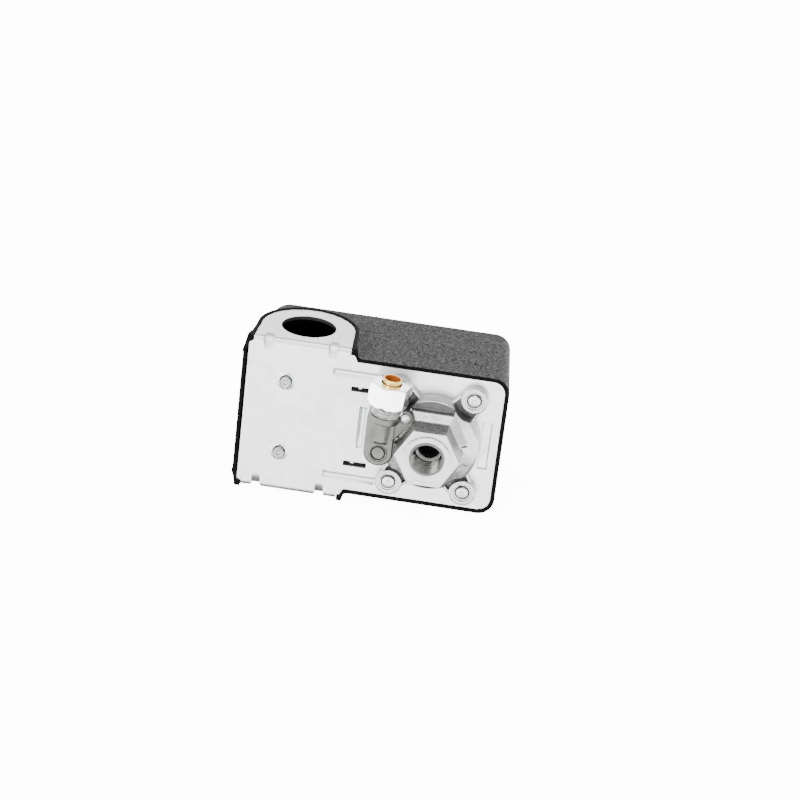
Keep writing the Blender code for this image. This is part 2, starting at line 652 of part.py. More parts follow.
def contact_carrier():
    """Insulating bar that holds the contact bridges and rocks on the carrier pin."""
    pivot = (*CARRIER_PIVOT, 0.0)
    section = [(-41.6, 35.4), (-35.6, 35.4), (-35.6, 39.6), (-40.2, 39.6), (-41.6, 38.4)]
    carrier = finish("contact_carrier", prism("Z", -17.0, 17.0, section), "black_plastic", pivot)
    arm = [(-36.4, 36.4), (-29.0, 37.2), (-26.0, 38.6), (-26.0, 41.4), (-27.2, 42.4), (-30.0, 42.4),
           (-36.4, 39.4)]
    for side in (-1, 1):
        low, high = sorted((side * 14.9, side * 17.0))
        add(carrier, prism("Z", low, high, arm, circle(CARRIER_PIVOT, CARRIER_PIN_HOLE, 12)))
    toe = [(-36.4, 33.4), (-33.4, 33.4), (-33.4, 37.4), (-36.4, 38.6)]
    add(carrier, prism("Z", -2.2, 2.2, toe))
    return carrier


def toggle_spring():
    return finish("toggle_spring", coil("X", (35.0, 0.0), -33.1, -26.3, 1.3, 0.3, 5.5, 10, 6), "spring_steel")


def ground_screws():
    """Slotted screws whose tips come through the plate beside the conduit ears."""
    head_low = PLATE_BACK + 0.4
    slot_floor = head_low + 1.8
    for i, side in enumerate((1, -1), 1):
        z = side * GROUND_Z
        profile = [(1.6, 19.3), (GROUND_R, 19.9), (GROUND_R, head_low), (4.2, head_low),
                   (4.2, head_low + 2.4), (3.6, head_low + 3.0)]
        pivot = (GROUND_X, 0.0, z)
        head = finish(f"ground_screw_{i}", turned("Y", (GROUND_X, z), profile, 18), "green_steel", pivot)
        slot = box((GROUND_X - 5.0, z - 0.6), (GROUND_X + 5.0, z + 0.6))
        cut(head, prism("Y", slot_floor, slot_floor + 2.0, slot))


# ---- unloader valve ---------------------------------------------------------
def unloader_body():
    x, z = PLUNGER
    slab = [(x - 6.1, 9.6), (x - 4.4, 12.6)] + LUG[::-1] + arc((x, z), 6.1, 0.0, -180.0, 10)
    lug = prism("Y", LUG_FRONT, DOME_FACE - GAP, slab)
    body = finish("unloader_body", lug, "cast_zinc")
    block = [(x - 6.1, 9.6), (x - 4.4, 11.6), (-14.2, 11.6)] + arc((x, z), 6.0, 0.0, -180.0, 10)
    add(body, prism("Y", 12.0, PLATE_FACE - GAP, block))
    thread = [(COLLAR_R, -1.0), (COLLAR_R, 2.2), (5.6, 2.8), (5.6, 9.0), (5.1, 9.6)]
    add(body, tilted(turned("Z", (0.0, 0.0), thread, 22)))
    cut(body, tilted(turned("Z", (0.0, 0.0), [(2.3, 1.5), (2.3, 8.0), (3.3, 8.6), (3.3, 12.0)], 14)))
    bore = [(3.1, 9.0), (3.1, 12.2), (2.5, 12.2), (2.5, 19.6), (PLUNGER_HOLE, 19.6), (PLUNGER_HOLE, 23.0)]
    cut(body, turned("Y", PLUNGER, bore, 16))
    cut(body, prism("Y", 9.0, 14.0, circle(LUG_SCREW, LUG_SCREW_R + GAP, 12)))
    return body


def unloader_parts():
    x, z = PLUNGER
    cap = [(2.75, 10.4), (2.75, 11.9), (2.15, 11.9), (2.15, 13.2)]
    finish("unloader_plug", turned("Y", PLUNGER, cap, 18), "bright_steel")
    spring = coil("Y", PLUNGER, 13.5, 16.6, 1.45, 0.25, 4.5, 10, 6)
    finish("unloader_spring", spring, "spring_steel", (x, 0.0, z))
    top = LEVER_FACE - GAP
    plunger = [(2.15, 16.9), (2.15, 18.1), (1.5, 18.1), (1.5, top - 0.4), (1.1, top)]
    finish("unloader_plunger", turned("Y", PLUNGER, plunger, 14), "brass", (x, 0.0, z))
    seat = LUG_FRONT - GAP
    screw = [(1.3, seat - 1.5), (1.9, seat - 1.1), (1.9, seat), (LUG_SCREW_R, seat), (LUG_SCREW_R, 16.0)]
    finish("unloader_screw", turned("Y", LUG_SCREW, screw, 16), "bright_steel")


def compression_fitting():
    pivot = FITTING_BASE
    sections = ((NUT_HALF - 0.7, NUT_LOW), (NUT_HALF, NUT_LOW + 0.8), (NUT_HALF, NUT_HIGH - 1.2),
                (NUT_HALF - 0.8, NUT_HIGH))
    ring = [[(a, b, h) for a, b in polygon((0.0, 0.0), half, turn=NUT_TURN)] for half, h in sections]
    nut = finish("compression_nut", tilted(loft(ring)), "nickel", pivot)
    bore = [(5.95, NUT_LOW - 2.0), (5.95, 10.6), (4.2, 12.6), (4.2, NUT_HIGH + 1.4)]
    cut(nut, tilted(turned("Z", (0.0, 0.0), bore, 22)))
    sleeve = [(2.6, 9.9), (2.9, 9.9), (3.85, 11.4), (3.85, 17.6), (3.1, 17.6), (3.1, 11.4)]
    finish("compression_sleeve", tilted(turned("Z", (0.0, 0.0), sleeve, 22, closed=True)), "brass", pivot)


def build_switch():
    clear_scene()
    base_plate()
    cover()
    flange_casting()
    diaphragm()
    piston()
    flange_screws()
    inner_frame()
    operating_lever()
    pins()
    adjusters()
    cover_nut()
    contact_block()
    terminals()
    moving_contacts()
    contact_carrier()
    toggle_spring()
    ground_screws()
    unloader_body()
    unloader_parts()
    compression_fitting()


build_switch()
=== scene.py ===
"""Compressor pressure switch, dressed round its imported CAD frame.

Cast, pressed and moulded pieces are written as distance fields in millimetres
in the row frame and meshed by dual contouring, so that fillets and pressed
grooves are real geometry. Screws, the sleeve and the two fine threads are
turned on a lathe. Everything else keeps its CAD mesh.
"""
import json
import math

import bmesh
import bpy
import numpy as np
from mathutils import Matrix, Vector


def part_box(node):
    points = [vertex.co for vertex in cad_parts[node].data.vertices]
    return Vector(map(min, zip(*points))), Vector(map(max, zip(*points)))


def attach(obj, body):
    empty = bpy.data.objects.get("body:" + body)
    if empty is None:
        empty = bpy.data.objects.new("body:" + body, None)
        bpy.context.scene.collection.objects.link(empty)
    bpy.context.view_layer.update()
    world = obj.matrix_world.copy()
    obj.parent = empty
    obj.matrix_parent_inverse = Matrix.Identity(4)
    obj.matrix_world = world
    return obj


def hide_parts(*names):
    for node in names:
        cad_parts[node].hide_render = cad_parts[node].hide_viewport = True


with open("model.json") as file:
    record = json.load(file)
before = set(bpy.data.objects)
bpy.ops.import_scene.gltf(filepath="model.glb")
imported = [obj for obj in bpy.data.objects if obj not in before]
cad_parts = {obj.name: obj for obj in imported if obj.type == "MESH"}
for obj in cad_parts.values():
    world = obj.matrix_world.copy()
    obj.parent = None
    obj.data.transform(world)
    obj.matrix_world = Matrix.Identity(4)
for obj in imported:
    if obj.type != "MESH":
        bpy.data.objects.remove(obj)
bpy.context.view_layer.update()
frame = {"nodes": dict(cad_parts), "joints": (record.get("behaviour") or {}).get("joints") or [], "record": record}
NODES = frame["nodes"]
RECORD = frame["record"]

MM = 0.001


# ---- places read from the frame ---------------------------------------------
def extent(node):
    """Lowest and highest corner of a CAD node, in millimetres."""
    low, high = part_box(node)
    return np.array(low) / MM, np.array(high) / MM


def centre(node):
    """Middle of a CAD node's box, in millimetres."""
    low, high = extent(node)
    return 0.5 * (low + high)


def opening_centre(name):
    """Middle of an opening stated in the record, in millimetres."""
    for opening in RECORD["physics"]["openings"]:
        if opening["name"] == name:
            low, high = opening["box_m"]
            return 0.5 * (np.array(low) + np.array(high)) / MM
    raise ValueError(name)


def joint(name):
    return next(found for found in frame["joints"] if found["name"] == name)


PLATE_LOW, PLATE_HIGH = extent("base_plate")
PLATE_FACE = PLATE_LOW[1]
PLATE_THICK = 1.6
PLATE_BACK = PLATE_FACE + PLATE_THICK
EAR_FACE = PLATE_HIGH[2]
EAR_TIP = PLATE_HIGH[1]
EAR_X, HOLE_Y = opening_centre("upper_conduit_entry")[:2]
COVER_LOW, COVER_HIGH = extent("cover")
BOSS_X, _, BOSS_Z = np.abs(centre("flange_screw_2"))
GROUND = [centre("ground_screw_1"), centre("ground_screw_2")]
PLUG = centre("unloader_plug")
LUG_SCREW = centre("unloader_screw")
STUD = centre("range_stud")
FITTING = np.array(joint("compression_nut_turn")["pos_m"]) / MM
FITTING_AXIS = Vector(joint("compression_nut_turn")["axis"])


# ---- distance fields --------------------------------------------------------
def both(a, b, r=0.0):
    """Where two fields overlap, with the edge between them rounded to r."""
    if np.isscalar(r) and r == 0.0:
        return np.maximum(a, b)
    return np.minimum(np.maximum(a, b), -r) + np.hypot(np.maximum(a + r, 0.0), np.maximum(b + r, 0.0))


def either(a, b, r=0.0):
    """Two fields joined, with the corner between them filled to r."""
    return -both(-a, -b, r)


def without(a, b, r=0.0):
    """The first field with the second cut out of it, and the edge rounded to r."""
    return both(a, -b, r)


def span(v, low, high):
    """Field of a slab between two values."""
    return np.abs(v - 0.5 * (low + high)) - 0.5 * (high - low)


def rod(u, v, middle, radius):
    """Field of an endless round rod."""
    return np.hypot(u - middle[0], v - middle[1]) - radius


def from_boss(x, z):
    """Distance from the axis of the nearest of the flange's four bosses."""
    return np.hypot(np.abs(x) - BOSS_X, np.abs(z) - BOSS_Z)


def flats(u, v, turn=0.0):
    """Distance to the centre measured across the flats of a hexagon."""
    found = None
    for k in range(3):
        angle = math.radians(turn + 60.0 * k)
        across = np.abs(u * math.cos(angle) + v * math.sin(angle))
        found = across if found is None else np.maximum(found, across)
    return found


def convex(u, v, points):
    """Field of a convex outline given anticlockwise."""
    found = None
    for (u0, v0), (u1, v1) in zip(points, points[1:] + points[:1]):
        long = math.hypot(u1 - u0, v1 - v0)
        side = ((v - v0) * (u0 - u1) + (u - u0) * (v1 - v0)) / long
        found = side if found is None else np.maximum(found, side)
    return found


def smooth(v, low, high):
    """Soft step from 0 at low to 1 at high."""
    t = np.clip((v - low) / (high - low), 0.0, 1.0)
    return t * t * (3.0 - 2.0 * t)


def hump(v, middle, half, soft):
    """1 on a band and 0 away from it, with soft sides."""
    return 1.0 - smooth(np.abs(v - middle), half - soft, half)


def tooth(v):
    """Rounded triangular wave between -1 and 1 with period 1."""
    return (2.0 / math.pi) * np.arcsin(0.96 * np.sin(2.0 * math.pi * v))


# ---- dual contouring --------------------------------------------------------
# How strongly a vertex is held to the middle of its cell's crossings.
HOLD = 0.08
SLOPE_STEP = 0.002


def slope(field, points):
    """Unit normals of a field at some points."""
    normal = np.empty_like(points)
    for k in range(3):
        move = np.zeros(3)
        move[k] = SLOPE_STEP
        normal[:, k] = field(*(points + move).T) - field(*(points - move).T)
    return normal / np.maximum(np.linalg.norm(normal, axis=1, keepdims=True), 1e-12)


def crossings(value, inside, axes, step, field):
    """Points where grid edges meet the surface, with the four cells round each."""
    shape = np.array(inside.shape)
    stride = np.array([shape[1] * shape[2], shape[2], 1])
    flat = value.ravel()
    points, cells, outward = [], [], []
    for k in range(3):
        here = [slice(1, None)] * 3
        there = [slice(1, None)] * 3
        here[k], there[k] = slice(0, -1), slice(1, None)
        changed = inside[tuple(here)] != inside[tuple(there)]
        index = np.argwhere(changed) + (np.arange(3) != k)
        at = index @ stride
        a, b = flat[at], flat[at + stride[k]]
        start = np.stack([axes[i][index[:, i]] for i in range(3)], axis=1)
        t = a / (a - b)
        point = start.copy()
        point[:, k] += t * step
        miss = field(*point.T)
        same = np.sign(miss) == np.sign(a)
        other = np.where(same, b, a)
        t_other = np.where(same, 1.0, 0.0)
        nearer = t - miss / np.where(miss == other, 1.0, miss - other) * (t - t_other)
        t = np.clip(nearer, 0.0, 1.0)
        point[:, k] = start[:, k] + t * step
        u, v = (k + 1) % 3, (k + 2) % 3
        around = np.stack([at, at - stride[u], at - stride[u] - stride[v], at - stride[v]], axis=1)
        points.append(point)
        cells.append(around)
        outward.append(a < 0.0)
    return np.concatenate(points), np.concatenate(cells), np.concatenate(outward)


def contour(field, low, high, step):
    """Vertices and quads of the surface where a field is zero, inside a box."""
    axes = [np.arange(a - 1.5 * step, b + 2.5 * step, step) for a, b in zip(low, high)]
    value = field(*np.meshgrid(*axes, indexing="ij", sparse=True))
    value = np.where(value == 0.0, 1e-9, value)
    points, cells, outward = crossings(value, value < 0.0, axes, step, field)
    normal = slope(field, points)
    used, slot = np.unique(cells, return_inverse=True)
    slot = slot.reshape(cells.shape)
    count = len(used)
    owner = slot.ravel()
    near = np.repeat(points, 4, axis=0)
    turn = np.repeat(normal, 4, axis=0)
    share = np.bincount(owner, minlength=count).astype(float)
    middle = np.stack([np.bincount(owner, near[:, k], count) for k in range(3)], axis=1) / share[:, None]
    offset = np.einsum("ij,ij->i", turn, near - middle[owner])
    matrix = np.empty((count, 3, 3))
    target = np.empty((count, 3))
    for i in range(3):
        target[:, i] = np.bincount(owner, turn[:, i] * offset, count)
        for j in range(i, 3):
            matrix[:, i, j] = matrix[:, j, i] = np.bincount(owner, turn[:, i] * turn[:, j], count)
    matrix += HOLD * np.eye(3)
    move = np.linalg.solve(matrix, target[:, :, None])[:, :, 0]
    shape = value.shape
    corner = np.stack(np.unravel_index(used, shape), axis=1)
    base = np.stack([axes[i][np.minimum(corner[:, i], shape[i] - 1)] for i in range(3)], axis=1)
    vertices = np.clip(middle + move, base - 0.1 * step, base + 1.1 * step)
    quads = np.where(outward[:, None], slot, slot[:, ::-1])
    return vertices, quads


# ---- pieces -----------------------------------------------------------------
CREASE = 38.0
LATHE_CREASE = 30.0
THREAD_SAMPLES = 12.0


def mesh_object(name, vertices, faces, crease=CREASE):
    """An object from millimetre vertices, smooth except at real edges."""
    mesh = bpy.data.meshes.new(name)
    mesh.from_pydata((np.asarray(vertices) * MM).tolist(), [], [list(map(int, f)) for f in faces])
    mesh.update()
    mesh.shade_smooth()
    mesh.set_sharp_from_angle(angle=math.radians(crease))
    made = bpy.data.objects.new(name, mesh)
    bpy.context.scene.collection.objects.link(made)
    return made


def thin_out(piece, ratio):
    """Collapse edges where the surface is flat, and keep the result."""
    step = piece.modifiers.new("thin", "DECIMATE")
    step.ratio = ratio
    seen = bpy.context.evaluated_depsgraph_get()
    mesh = bpy.data.meshes.new_from_object(piece.evaluated_get(seen))
    piece.modifiers.clear()
    piece.data = mesh
    mesh.shade_smooth()
    mesh.set_sharp_from_angle(angle=math.radians(CREASE))


def sculpt(name, field, low, high, step, keep):
    """Piece from a field inside a box, of which a share of the faces is kept."""
    vertices, quads = contour(field, low, high, step)
    piece = mesh_object(name, vertices, quads)
    thin_out(piece, keep)
    return piece


def thread(pitch, radius, taper, low, high, depth, fade):
    """Points of a threaded wall, each with the height of the thread that stands on it there."""
    heights = np.linspace(low, high, int((high - low) / pitch * THREAD_SAMPLES))
    ends = smooth(heights, low, low + fade) * (1.0 - smooth(heights, high - fade, high))
    return [(radius + taper * h, h, depth * end) for h, end in zip(heights, ends)]


def lathe(name, profile, steps=72, axis="Y", at=(0.0, 0.0, 0.0), closed=False, pitch=1.0):
    """Turned piece from (radius, height) points, or (radius, height, thread depth) points."""
    angles = np.linspace(0.0, 2.0 * math.pi, steps, endpoint=False)
    rings = []
    for radius, height, *depth in profile:
        reach = radius + sum(depth) * tooth(height / pitch - angles / (2.0 * math.pi))
        a, b, h = reach * np.cos(angles), reach * np.sin(angles), np.full(steps, height)
        ring = {"Y": (a, h, b), "Z": (a, b, h)}[axis]
        rings.append(np.stack(ring, axis=1) + np.array(at))
    vertices = np.concatenate(rings)
    faces = []
    count = len(profile)
    for k in range(count if closed else count - 1):
        low, high = k * steps, ((k + 1) % count) * steps
        for i in range(steps):
            j = (i + 1) % steps
            faces.append((low + i, low + j, high + j, high + i))
    if not closed:
        faces.append(tuple(range(steps))[::-1])
        faces.append(tuple(range((count - 1) * steps, count * steps)))
    piece = mesh_object(name, vertices, faces, LATHE_CREASE)
    bm = bmesh.new()
    bm.from_mesh(piece.data)
    bmesh.ops.recalc_face_normals(bm, faces=bm.faces)
    bm.to_mesh(piece.data)
    bm.free()
    return piece


def dress(piece, body, slot, nodes, *looks):
    """Give a piece its looks, hang it on the body it rides and hide the CAD nodes it replaces; slot, its material
    class, is not used.
    """
    for look in looks:
        piece.data.materials.append(look)
    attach(piece, body)
    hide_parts(*nodes)


def paint(piece, chooser):
    """Give each face the material slot that chooser picks from its centre and normal."""
    count = len(piece.data.polygons)
    middle = np.empty(count * 3)
    normal = np.empty(count * 3)
    piece.data.polygons.foreach_get("center", middle)
    piece.data.polygons.foreach_get("normal", normal)
    picked = chooser(middle.reshape(-1, 3) / MM, normal.reshape(-1, 3))
    piece.data.polygons.foreach_set("material_index", picked.astype(np.int32))
    piece.data.update()


# ---- materials --------------------------------------------------------------
# Most of a noise texture's values lie between the first two. A wave texture at
# scale 1 has about the third many half waves in one unit.
NOISE_LOW = 0.3
NOISE_HIGH = 0.7
HALF_WAVES = 6.3


class Look:
    """A Principled material with helpers for procedural detail in object space."""

    def __init__(self, name, colour, roughness, metallic, specular=0.5):
        self.material = bpy.data.materials.new(name)
        self.material.use_nodes = True
        self.tree = self.material.node_tree
        self.shader = self.tree.nodes["Principled BSDF"]
        self.shader.inputs["Base Color"].default_value = (*colour, 1.0)
        self.shader.inputs["Roughness"].default_value = roughness
        self.shader.inputs["Metallic"].default_value = metallic
        self.shader.inputs["Specular IOR Level"].default_value = specular
        self.place = self.node("ShaderNodeTexCoord").outputs["Object"]

    def node(self, kind, **settings):
        made = self.tree.nodes.new(kind)
        for key, value in settings.items():
            setattr(made, key, value)
        return made

    def link(self, source, target):
        self.tree.links.new(source, target)

    def noise(self, size, detail=3.0, stretch=(1.0, 1.0, 1.0), rough=0.55):
        """Noise whose features are about size millimetres across."""
        mapping = self.node("ShaderNodeMapping")
        mapping.inputs["Scale"].default_value = stretch
        self.link(self.place, mapping.inputs["Vector"])
        texture = self.node("ShaderNodeTexNoise")
        texture.inputs["Scale"].default_value = 1.0 / (size * MM)
        texture.inputs["Detail"].default_value = detail
        texture.inputs["Roughness"].default_value = rough
        self.link(mapping.outputs["Vector"], texture.inputs["Vector"])
        return texture.outputs["Fac"]

    def rings(self, size):
        """Fine turning marks round the port's axis, each about size millimetres wide."""
        texture = self.node("ShaderNodeTexWave", wave_type="RINGS", rings_direction="Y")
        texture.inputs["Scale"].default_value = 1.0 / (size * MM * HALF_WAVES)
        texture.inputs["Distortion"].default_value = 1.5
        texture.inputs["Detail"].default_value = 2.0
        self.link(self.place, texture.inputs["Vector"])
        return texture.outputs["Fac"]

    def tone(self, source, low, high, dark, light):
        """Base colour between two tones, driven by a texture."""
        made = self.node("ShaderNodeValToRGB")
        made.color_ramp.elements[0].position = low
        made.color_ramp.elements[1].position = high
        made.color_ramp.elements[0].color = (*dark, 1.0)
        made.color_ramp.elements[1].color = (*light, 1.0)
        self.link(source, made.inputs["Fac"])
        self.link(made.outputs["Color"], self.shader.inputs["Base Color"])

    def gloss(self, source, smoothest, roughest):
        """Roughness between two values, driven by a texture."""
        made = self.node("ShaderNodeMapRange")
        made.inputs["From Min"].default_value = NOISE_LOW
        made.inputs["From Max"].default_value = NOISE_HIGH
        made.inputs["To Min"].default_value = smoothest
        made.inputs["To Max"].default_value = roughest
        self.link(source, made.inputs["Value"])
        self.link(made.outputs["Result"], self.shader.inputs["Roughness"])

    def bump(self, source, height, strength=1.0):
        """Raise the surface by up to height millimetres, on top of earlier bumps."""
        made = self.node("ShaderNodeBump")
        made.inputs["Distance"].default_value = height * MM
        made.inputs["Strength"].default_value = strength
        self.link(source, made.inputs["Height"])
        if self.shader.inputs["Normal"].is_linked:
            earlier = self.shader.inputs["Normal"].links[0].from_socket
            self.link(earlier, made.inputs["Normal"])
        self.link(made.outputs["Normal"], self.shader.inputs["Normal"])


# Material name, colour, roughness, metallic, size of its skin's grain in mm, spread of its tone.
METALS = {
    "zinc": ("zinc_plate", (0.56, 0.59, 0.578), 0.36, 0.9, 1.6, 0.07),
    "cast": ("cast_zinc", (0.34, 0.34, 0.335), 0.25, 0.95, 1.8, 0.16),
    "machined": ("machined_face", (0.42, 0.415, 0.405), 0.3, 0.95, 0.5, 0.06),
    "unloader": ("unloader_cast", (0.10, 0.102, 0.097), 0.36, 0.9, 0.6, 0.2),
    # The next entry is a near-black copy of the metal: painted shade inside the port's threaded bore.
    "cut": ("bore_thread_shade", (0.07, 0.07, 0.068), 0.2, 0.95, 0.4, 0.2),
    # The next entry is a dark, rougher copy of the cast zinc: painted shade for the floors of the web pockets and
    # of the recess.
    "recess_shade": ("pocket_shade_casting", (0.09, 0.09, 0.09), 0.5, 0.8, 0.4, 0.3),
    # The next entry is a darker copy of the cast zinc: painted shade on the hexagon's sides, also used on the
    # ground screws' shanks and tips.
    "side": ("cast_side_shade", (0.27, 0.27, 0.267), 0.26, 0.95, 2.2, 0.2),
    # The next entry is a near-black copy of the metal: painted shade for the walls of the conduit holes.
    "hole_shade": ("hole_wall_painted_shade", (0.02, 0.02, 0.02), 0.5, 0.5, 0.4, 0.2),
    "steel": ("bright_steel", (0.46, 0.46, 0.452), 0.28, 0.95, 0.5, 0.08),
    "nickel": ("nickel_plate", (0.96, 0.96, 0.96), 0.2, 1.0, 1.2, 0.02),
    "brass": ("turned_brass", (0.66, 0.44, 0.12), 0.24, 0.95, 0.4, 0.1),
    # The next entry is a dark orange copy of the brass: painted shade inside the sleeve's bore.
    "orange": ("brass_bore_shade", (0.26, 0.065, 0.004), 0.5, 0.3, 0.4, 0.2),
    "copper": ("copper_strip", (0.75, 0.42, 0.26), 0.3, 0.95, 0.5, 0.08),
    "spring": ("spring_wire", (0.48, 0.48, 0.48), 0.3, 0.95, 0.4, 0.08),
    "green": ("green_screw", (0.10, 0.33, 0.16), 0.35, 0.6, 0.4, 0.12),
}


def shade(colour, factor):
    return tuple(min(c * factor, 1.0) for c in colour)


def grey(value):
    return (value, value, value)


def worn_metal(name, colour, roughness, metallic, grain, spread):
    """Metal with cloudy tone, uneven gloss and a fine cast or rolled skin."""
    look = Look(name, colour, roughness, metallic)
    darkest, lightest = shade(colour, 1.0 - spread), shade(colour, 1.0 + spread)
    look.tone(look.noise(9.0, 4.0), NOISE_LOW, NOISE_HIGH, darkest, lightest)
    look.gloss(look.noise(3.0, 5.0), roughness - 0.06, roughness + 0.08)
    look.bump(look.noise(grain, 4.0), 0.03, 0.6)
    return look


def textured_cover():
    """Charcoal moulding with a coarse grain; one noise sets both tone and bump, so painted shade darkens its
    hollows and painted light brightens its peaks.
    """
    look = Look("charcoal_texture", grey(0.09), 0.8, 0.0, specular=0.1)
    speckle = look.noise(0.8, 5.0, rough=0.62)
    look.tone(speckle, 0.42, 0.61, grey(0.0), (0.064, 0.064, 0.0626))
    look.bump(speckle, 0.12, 0.8)
    look.gloss(look.noise(2.0), 0.66, 0.82)
    return look


def dark_moulding(name, darkest, lightest, patch, roughness, specular):
    look = Look(name, grey(darkest), roughness, 0.0, specular=specular)
    look.tone(look.noise(patch), NOISE_LOW, NOISE_HIGH, grey(darkest), grey(lightest))
    return look


def make_looks():
    looks = {key: worn_metal(*facts) for key, facts in METALS.items()}
    rolling_marks = looks["zinc"].noise(0.35, 2.0, (1.0, 1.0, 0.05))
    looks["zinc"].bump(rolling_marks, 0.004, 0.5)
    looks["cast"].bump(looks["cast"].noise(4.0, 2.0), 0.35, 0.5)
    looks["machined"].bump(looks["machined"].rings(0.16), 0.006, 0.6)
    looks["cover"] = textured_cover()
    rim = dark_moulding("black_rim", 0.0015, 0.003, 4.0, 0.55, 0.02)
    rim.bump(rim.noise(0.5), 0.01, 0.4)
    looks["rim"] = rim
    black = dark_moulding("black_moulding", 0.003, 0.006, 5.0, 0.55, 0.02)
    black.gloss(black.noise(1.5), 0.42, 0.58)
    black.bump(black.noise(0.4), 0.02, 0.5)
    looks["black"] = black
    rubber = dark_moulding("rubber_sheet", 0.009, 0.016, 3.0, 0.78, 0.1)
    rubber.bump(rubber.noise(0.6), 0.03, 0.6)
    looks["rubber"] = rubber
    return {name: look.material for name, look in looks.items()}


LOOKS = make_looks()


# ---- base plate -------------------------------------------------------------
BEND_R = 2.2
EAR_HALF = 19.7
EAR_TAPER = 0.8
EAR_SHOULDER = EAR_TIP - 0.95 * EAR_HALF
EAR_ROOT_Z = 30.4
STEP_X = -33.1
SHOULDER_X = -34.6
LEFT_EDGE = PLATE_LOW[0] + 0.35
OVERLAP_X = -60.0
PORT_END_HALF = 28.2
PORT_END_CORNER = 5.0
SHOULDER_HALF = 31.2
CONDUIT_R = 11.1
SCREW_HOLE_R = 2.95
GROUND_HOLE_R = 2.62
RAISED_RIM_R = 3.2
PISTON_HOLE_R = 9.5
PLUNGER_HOLE_R = 1.9
GROOVE_DEPTH = 1.6
DARTS = (-69.4, -43.2)
DART_HALF = 2.0
DART_BEND = 4.2
SLOT_X = (-34.5, -25.0)
SLOT_W = (15.45, 17.55)
TAB_X = (-31.6, -30.3)
TAB_W = (0.2, 2.0)
THROUGH = (18.0, 26.0)


def ear_outline(x, y, margin=0.0):
    """Field of the arch round an ear; it has no lower end."""
    dx = np.abs(x - EAR_X)
    top = np.hypot(dx, np.maximum(y - EAR_SHOULDER, 0.0)) - (EAR_HALF - EAR_TAPER)
    lean = EAR_TAPER * np.clip((y - PLATE_FACE) / (EAR_SHOULDER - PLATE_FACE), 0.0, 1.0)
    side = dx - (EAR_HALF - lean)
    return np.where(y > EAR_SHOULDER, top, side) - margin


def pressed_depth(x, z):
    """How far the pressed grooves push the sheet back."""
    w = np.abs(z)
    long = hump(x, -31.4, 11.2, 1.0) * hump(w, 22.8, 1.75, 1.3)
    left = hump(x, -28.8, 1.5, 1.2) * hump(z, 0.0, 9.2, 0.9)
    right = hump(x, 21.5, 1.9, 0.4) * hump(z, 0.0, 10.3, 0.4)
    return GROOVE_DEPTH * np.maximum(np.maximum(long, left), right)


def folded_sheet(x, y, w):
    """The sheet with its two folds and its grooves, before the outline is cut."""
    fade = 1.0 - 0.6 * np.clip((y - PLATE_FACE) / PLATE_THICK, 0.0, 1.0)
    depth = y - pressed_depth(x, w) * fade
    dart = np.maximum(hump(x, DARTS[0], DART_HALF, 0.5), hump(x, DARTS[1], DART_HALF, 0.5))
    bend = BEND_R + DART_BEND * dart
    outer = both(PLATE_FACE - depth, w - EAR_FACE, bend)
    inner = both(PLATE_BACK - depth, w - (EAR_FACE - PLATE_THICK), np.maximum(bend - PLATE_THICK, 0.3))
    return both(outer, -inner)


def plate_outline(x, y, w):
    """Outline of the flat part joined to the arch of each ear."""
    port_end = both(x - PLATE_HIGH[0], w - PORT_END_HALF, PORT_END_CORNER)
    shoulder = convex(x, w, [(OVERLAP_X, 20.0), (STEP_X, 20.0), (STEP_X, PORT_END_HALF),
                             (SHOULDER_X, 30.9), (OVERLAP_X, SHOULDER_HALF)])
    left_corner = convex(x, w, [(LEFT_EDGE, 0.0), (OVERLAP_X, 0.0), (OVERLAP_X, SHOULDER_HALF),
                                (-76.1, 31.0), (LEFT_EDGE, 30.1)])
    flat = either(both(port_end, LEFT_EDGE - x), either(shoulder, left_corner))
    return either(flat, both(ear_outline(x, y), EAR_ROOT_Z - w))


def foot_slots(x, y, z):
    """Two slots for the contact block's feet, each with a small tab left in it."""
    slot = both(both(span(x, *SLOT_X), span(np.abs(z), *SLOT_W), 0.3), span(y, *THROUGH))
    middle = 0.5 * sum(SLOT_W)
    tab = both(span(x, *TAB_X), span(z - middle * np.sign(z), *TAB_W))
    return without(slot, both(tab, PLATE_FACE + 0.5 - y))


def plate_field(x, y, z):
    w = np.abs(z)
    solid = both(folded_sheet(x, y, w), plate_outline(x, y, w), 0.25)
    conduit = rod(x, y, (EAR_X, HOLE_Y), CONDUIT_R)
    solid = without(solid, both(conduit, 29.0 - w), 0.15)
    solid = without(solid, foot_slots(x, y, z), 0.12)
    through = span(y, *THROUGH)
    for screw in GROUND:
        away = np.hypot(x - screw[0], z - screw[2])
        collar = both(away - RAISED_RIM_R, span(y, PLATE_FACE - 0.35, PLATE_FACE + 1.0), 0.3)
        solid = either(solid, collar, 0.5)
        solid = without(solid, both(away - GROUND_HOLE_R, through), 0.25)
    solid = without(solid, both(np.hypot(x, z) - PISTON_HOLE_R, through))
    solid = without(solid, both(from_boss(x, z) - SCREW_HOLE_R, through))
    return without(solid, both(rod(x, z, (PLUG[0], PLUG[2]), PLUNGER_HOLE_R), through))


def hole_wall_shade_faces(middle, normal):
    """Slot 1, near-black painted shade, on the walls of the conduit holes."""
    x, y, _ = middle.T
    return (rod(x, y, (EAR_X, HOLE_Y), CONDUIT_R + 0.5) < 0.0) & (np.abs(normal[:, 2]) < 0.6) & (y > 25.0)


def build_plate():
    piece = sculpt("plate_shell", plate_field, PLATE_LOW, PLATE_HIGH, 0.42, 0.4)
    dress(piece, "body", "zinc_plated_steel", ["base_plate"], LOOKS["zinc"], LOOKS["hole_shade"])
    # Slot 1 paints shade on the walls of the conduit holes.
    paint(piece, hole_wall_shade_faces)


# ---- cover ------------------------------------------------------------------
WALL = 1.5
COVER_HALF = 30.0
COVER_DRAFT = 0.053
COVER_EDGE = 1.0
LEFT_CORNERS = (4.5, 8.9)
RIGHT_CORNER = 6.8
STUD_HOLE_R = 3.1
SEAT_X = (-77.8, STEP_X)


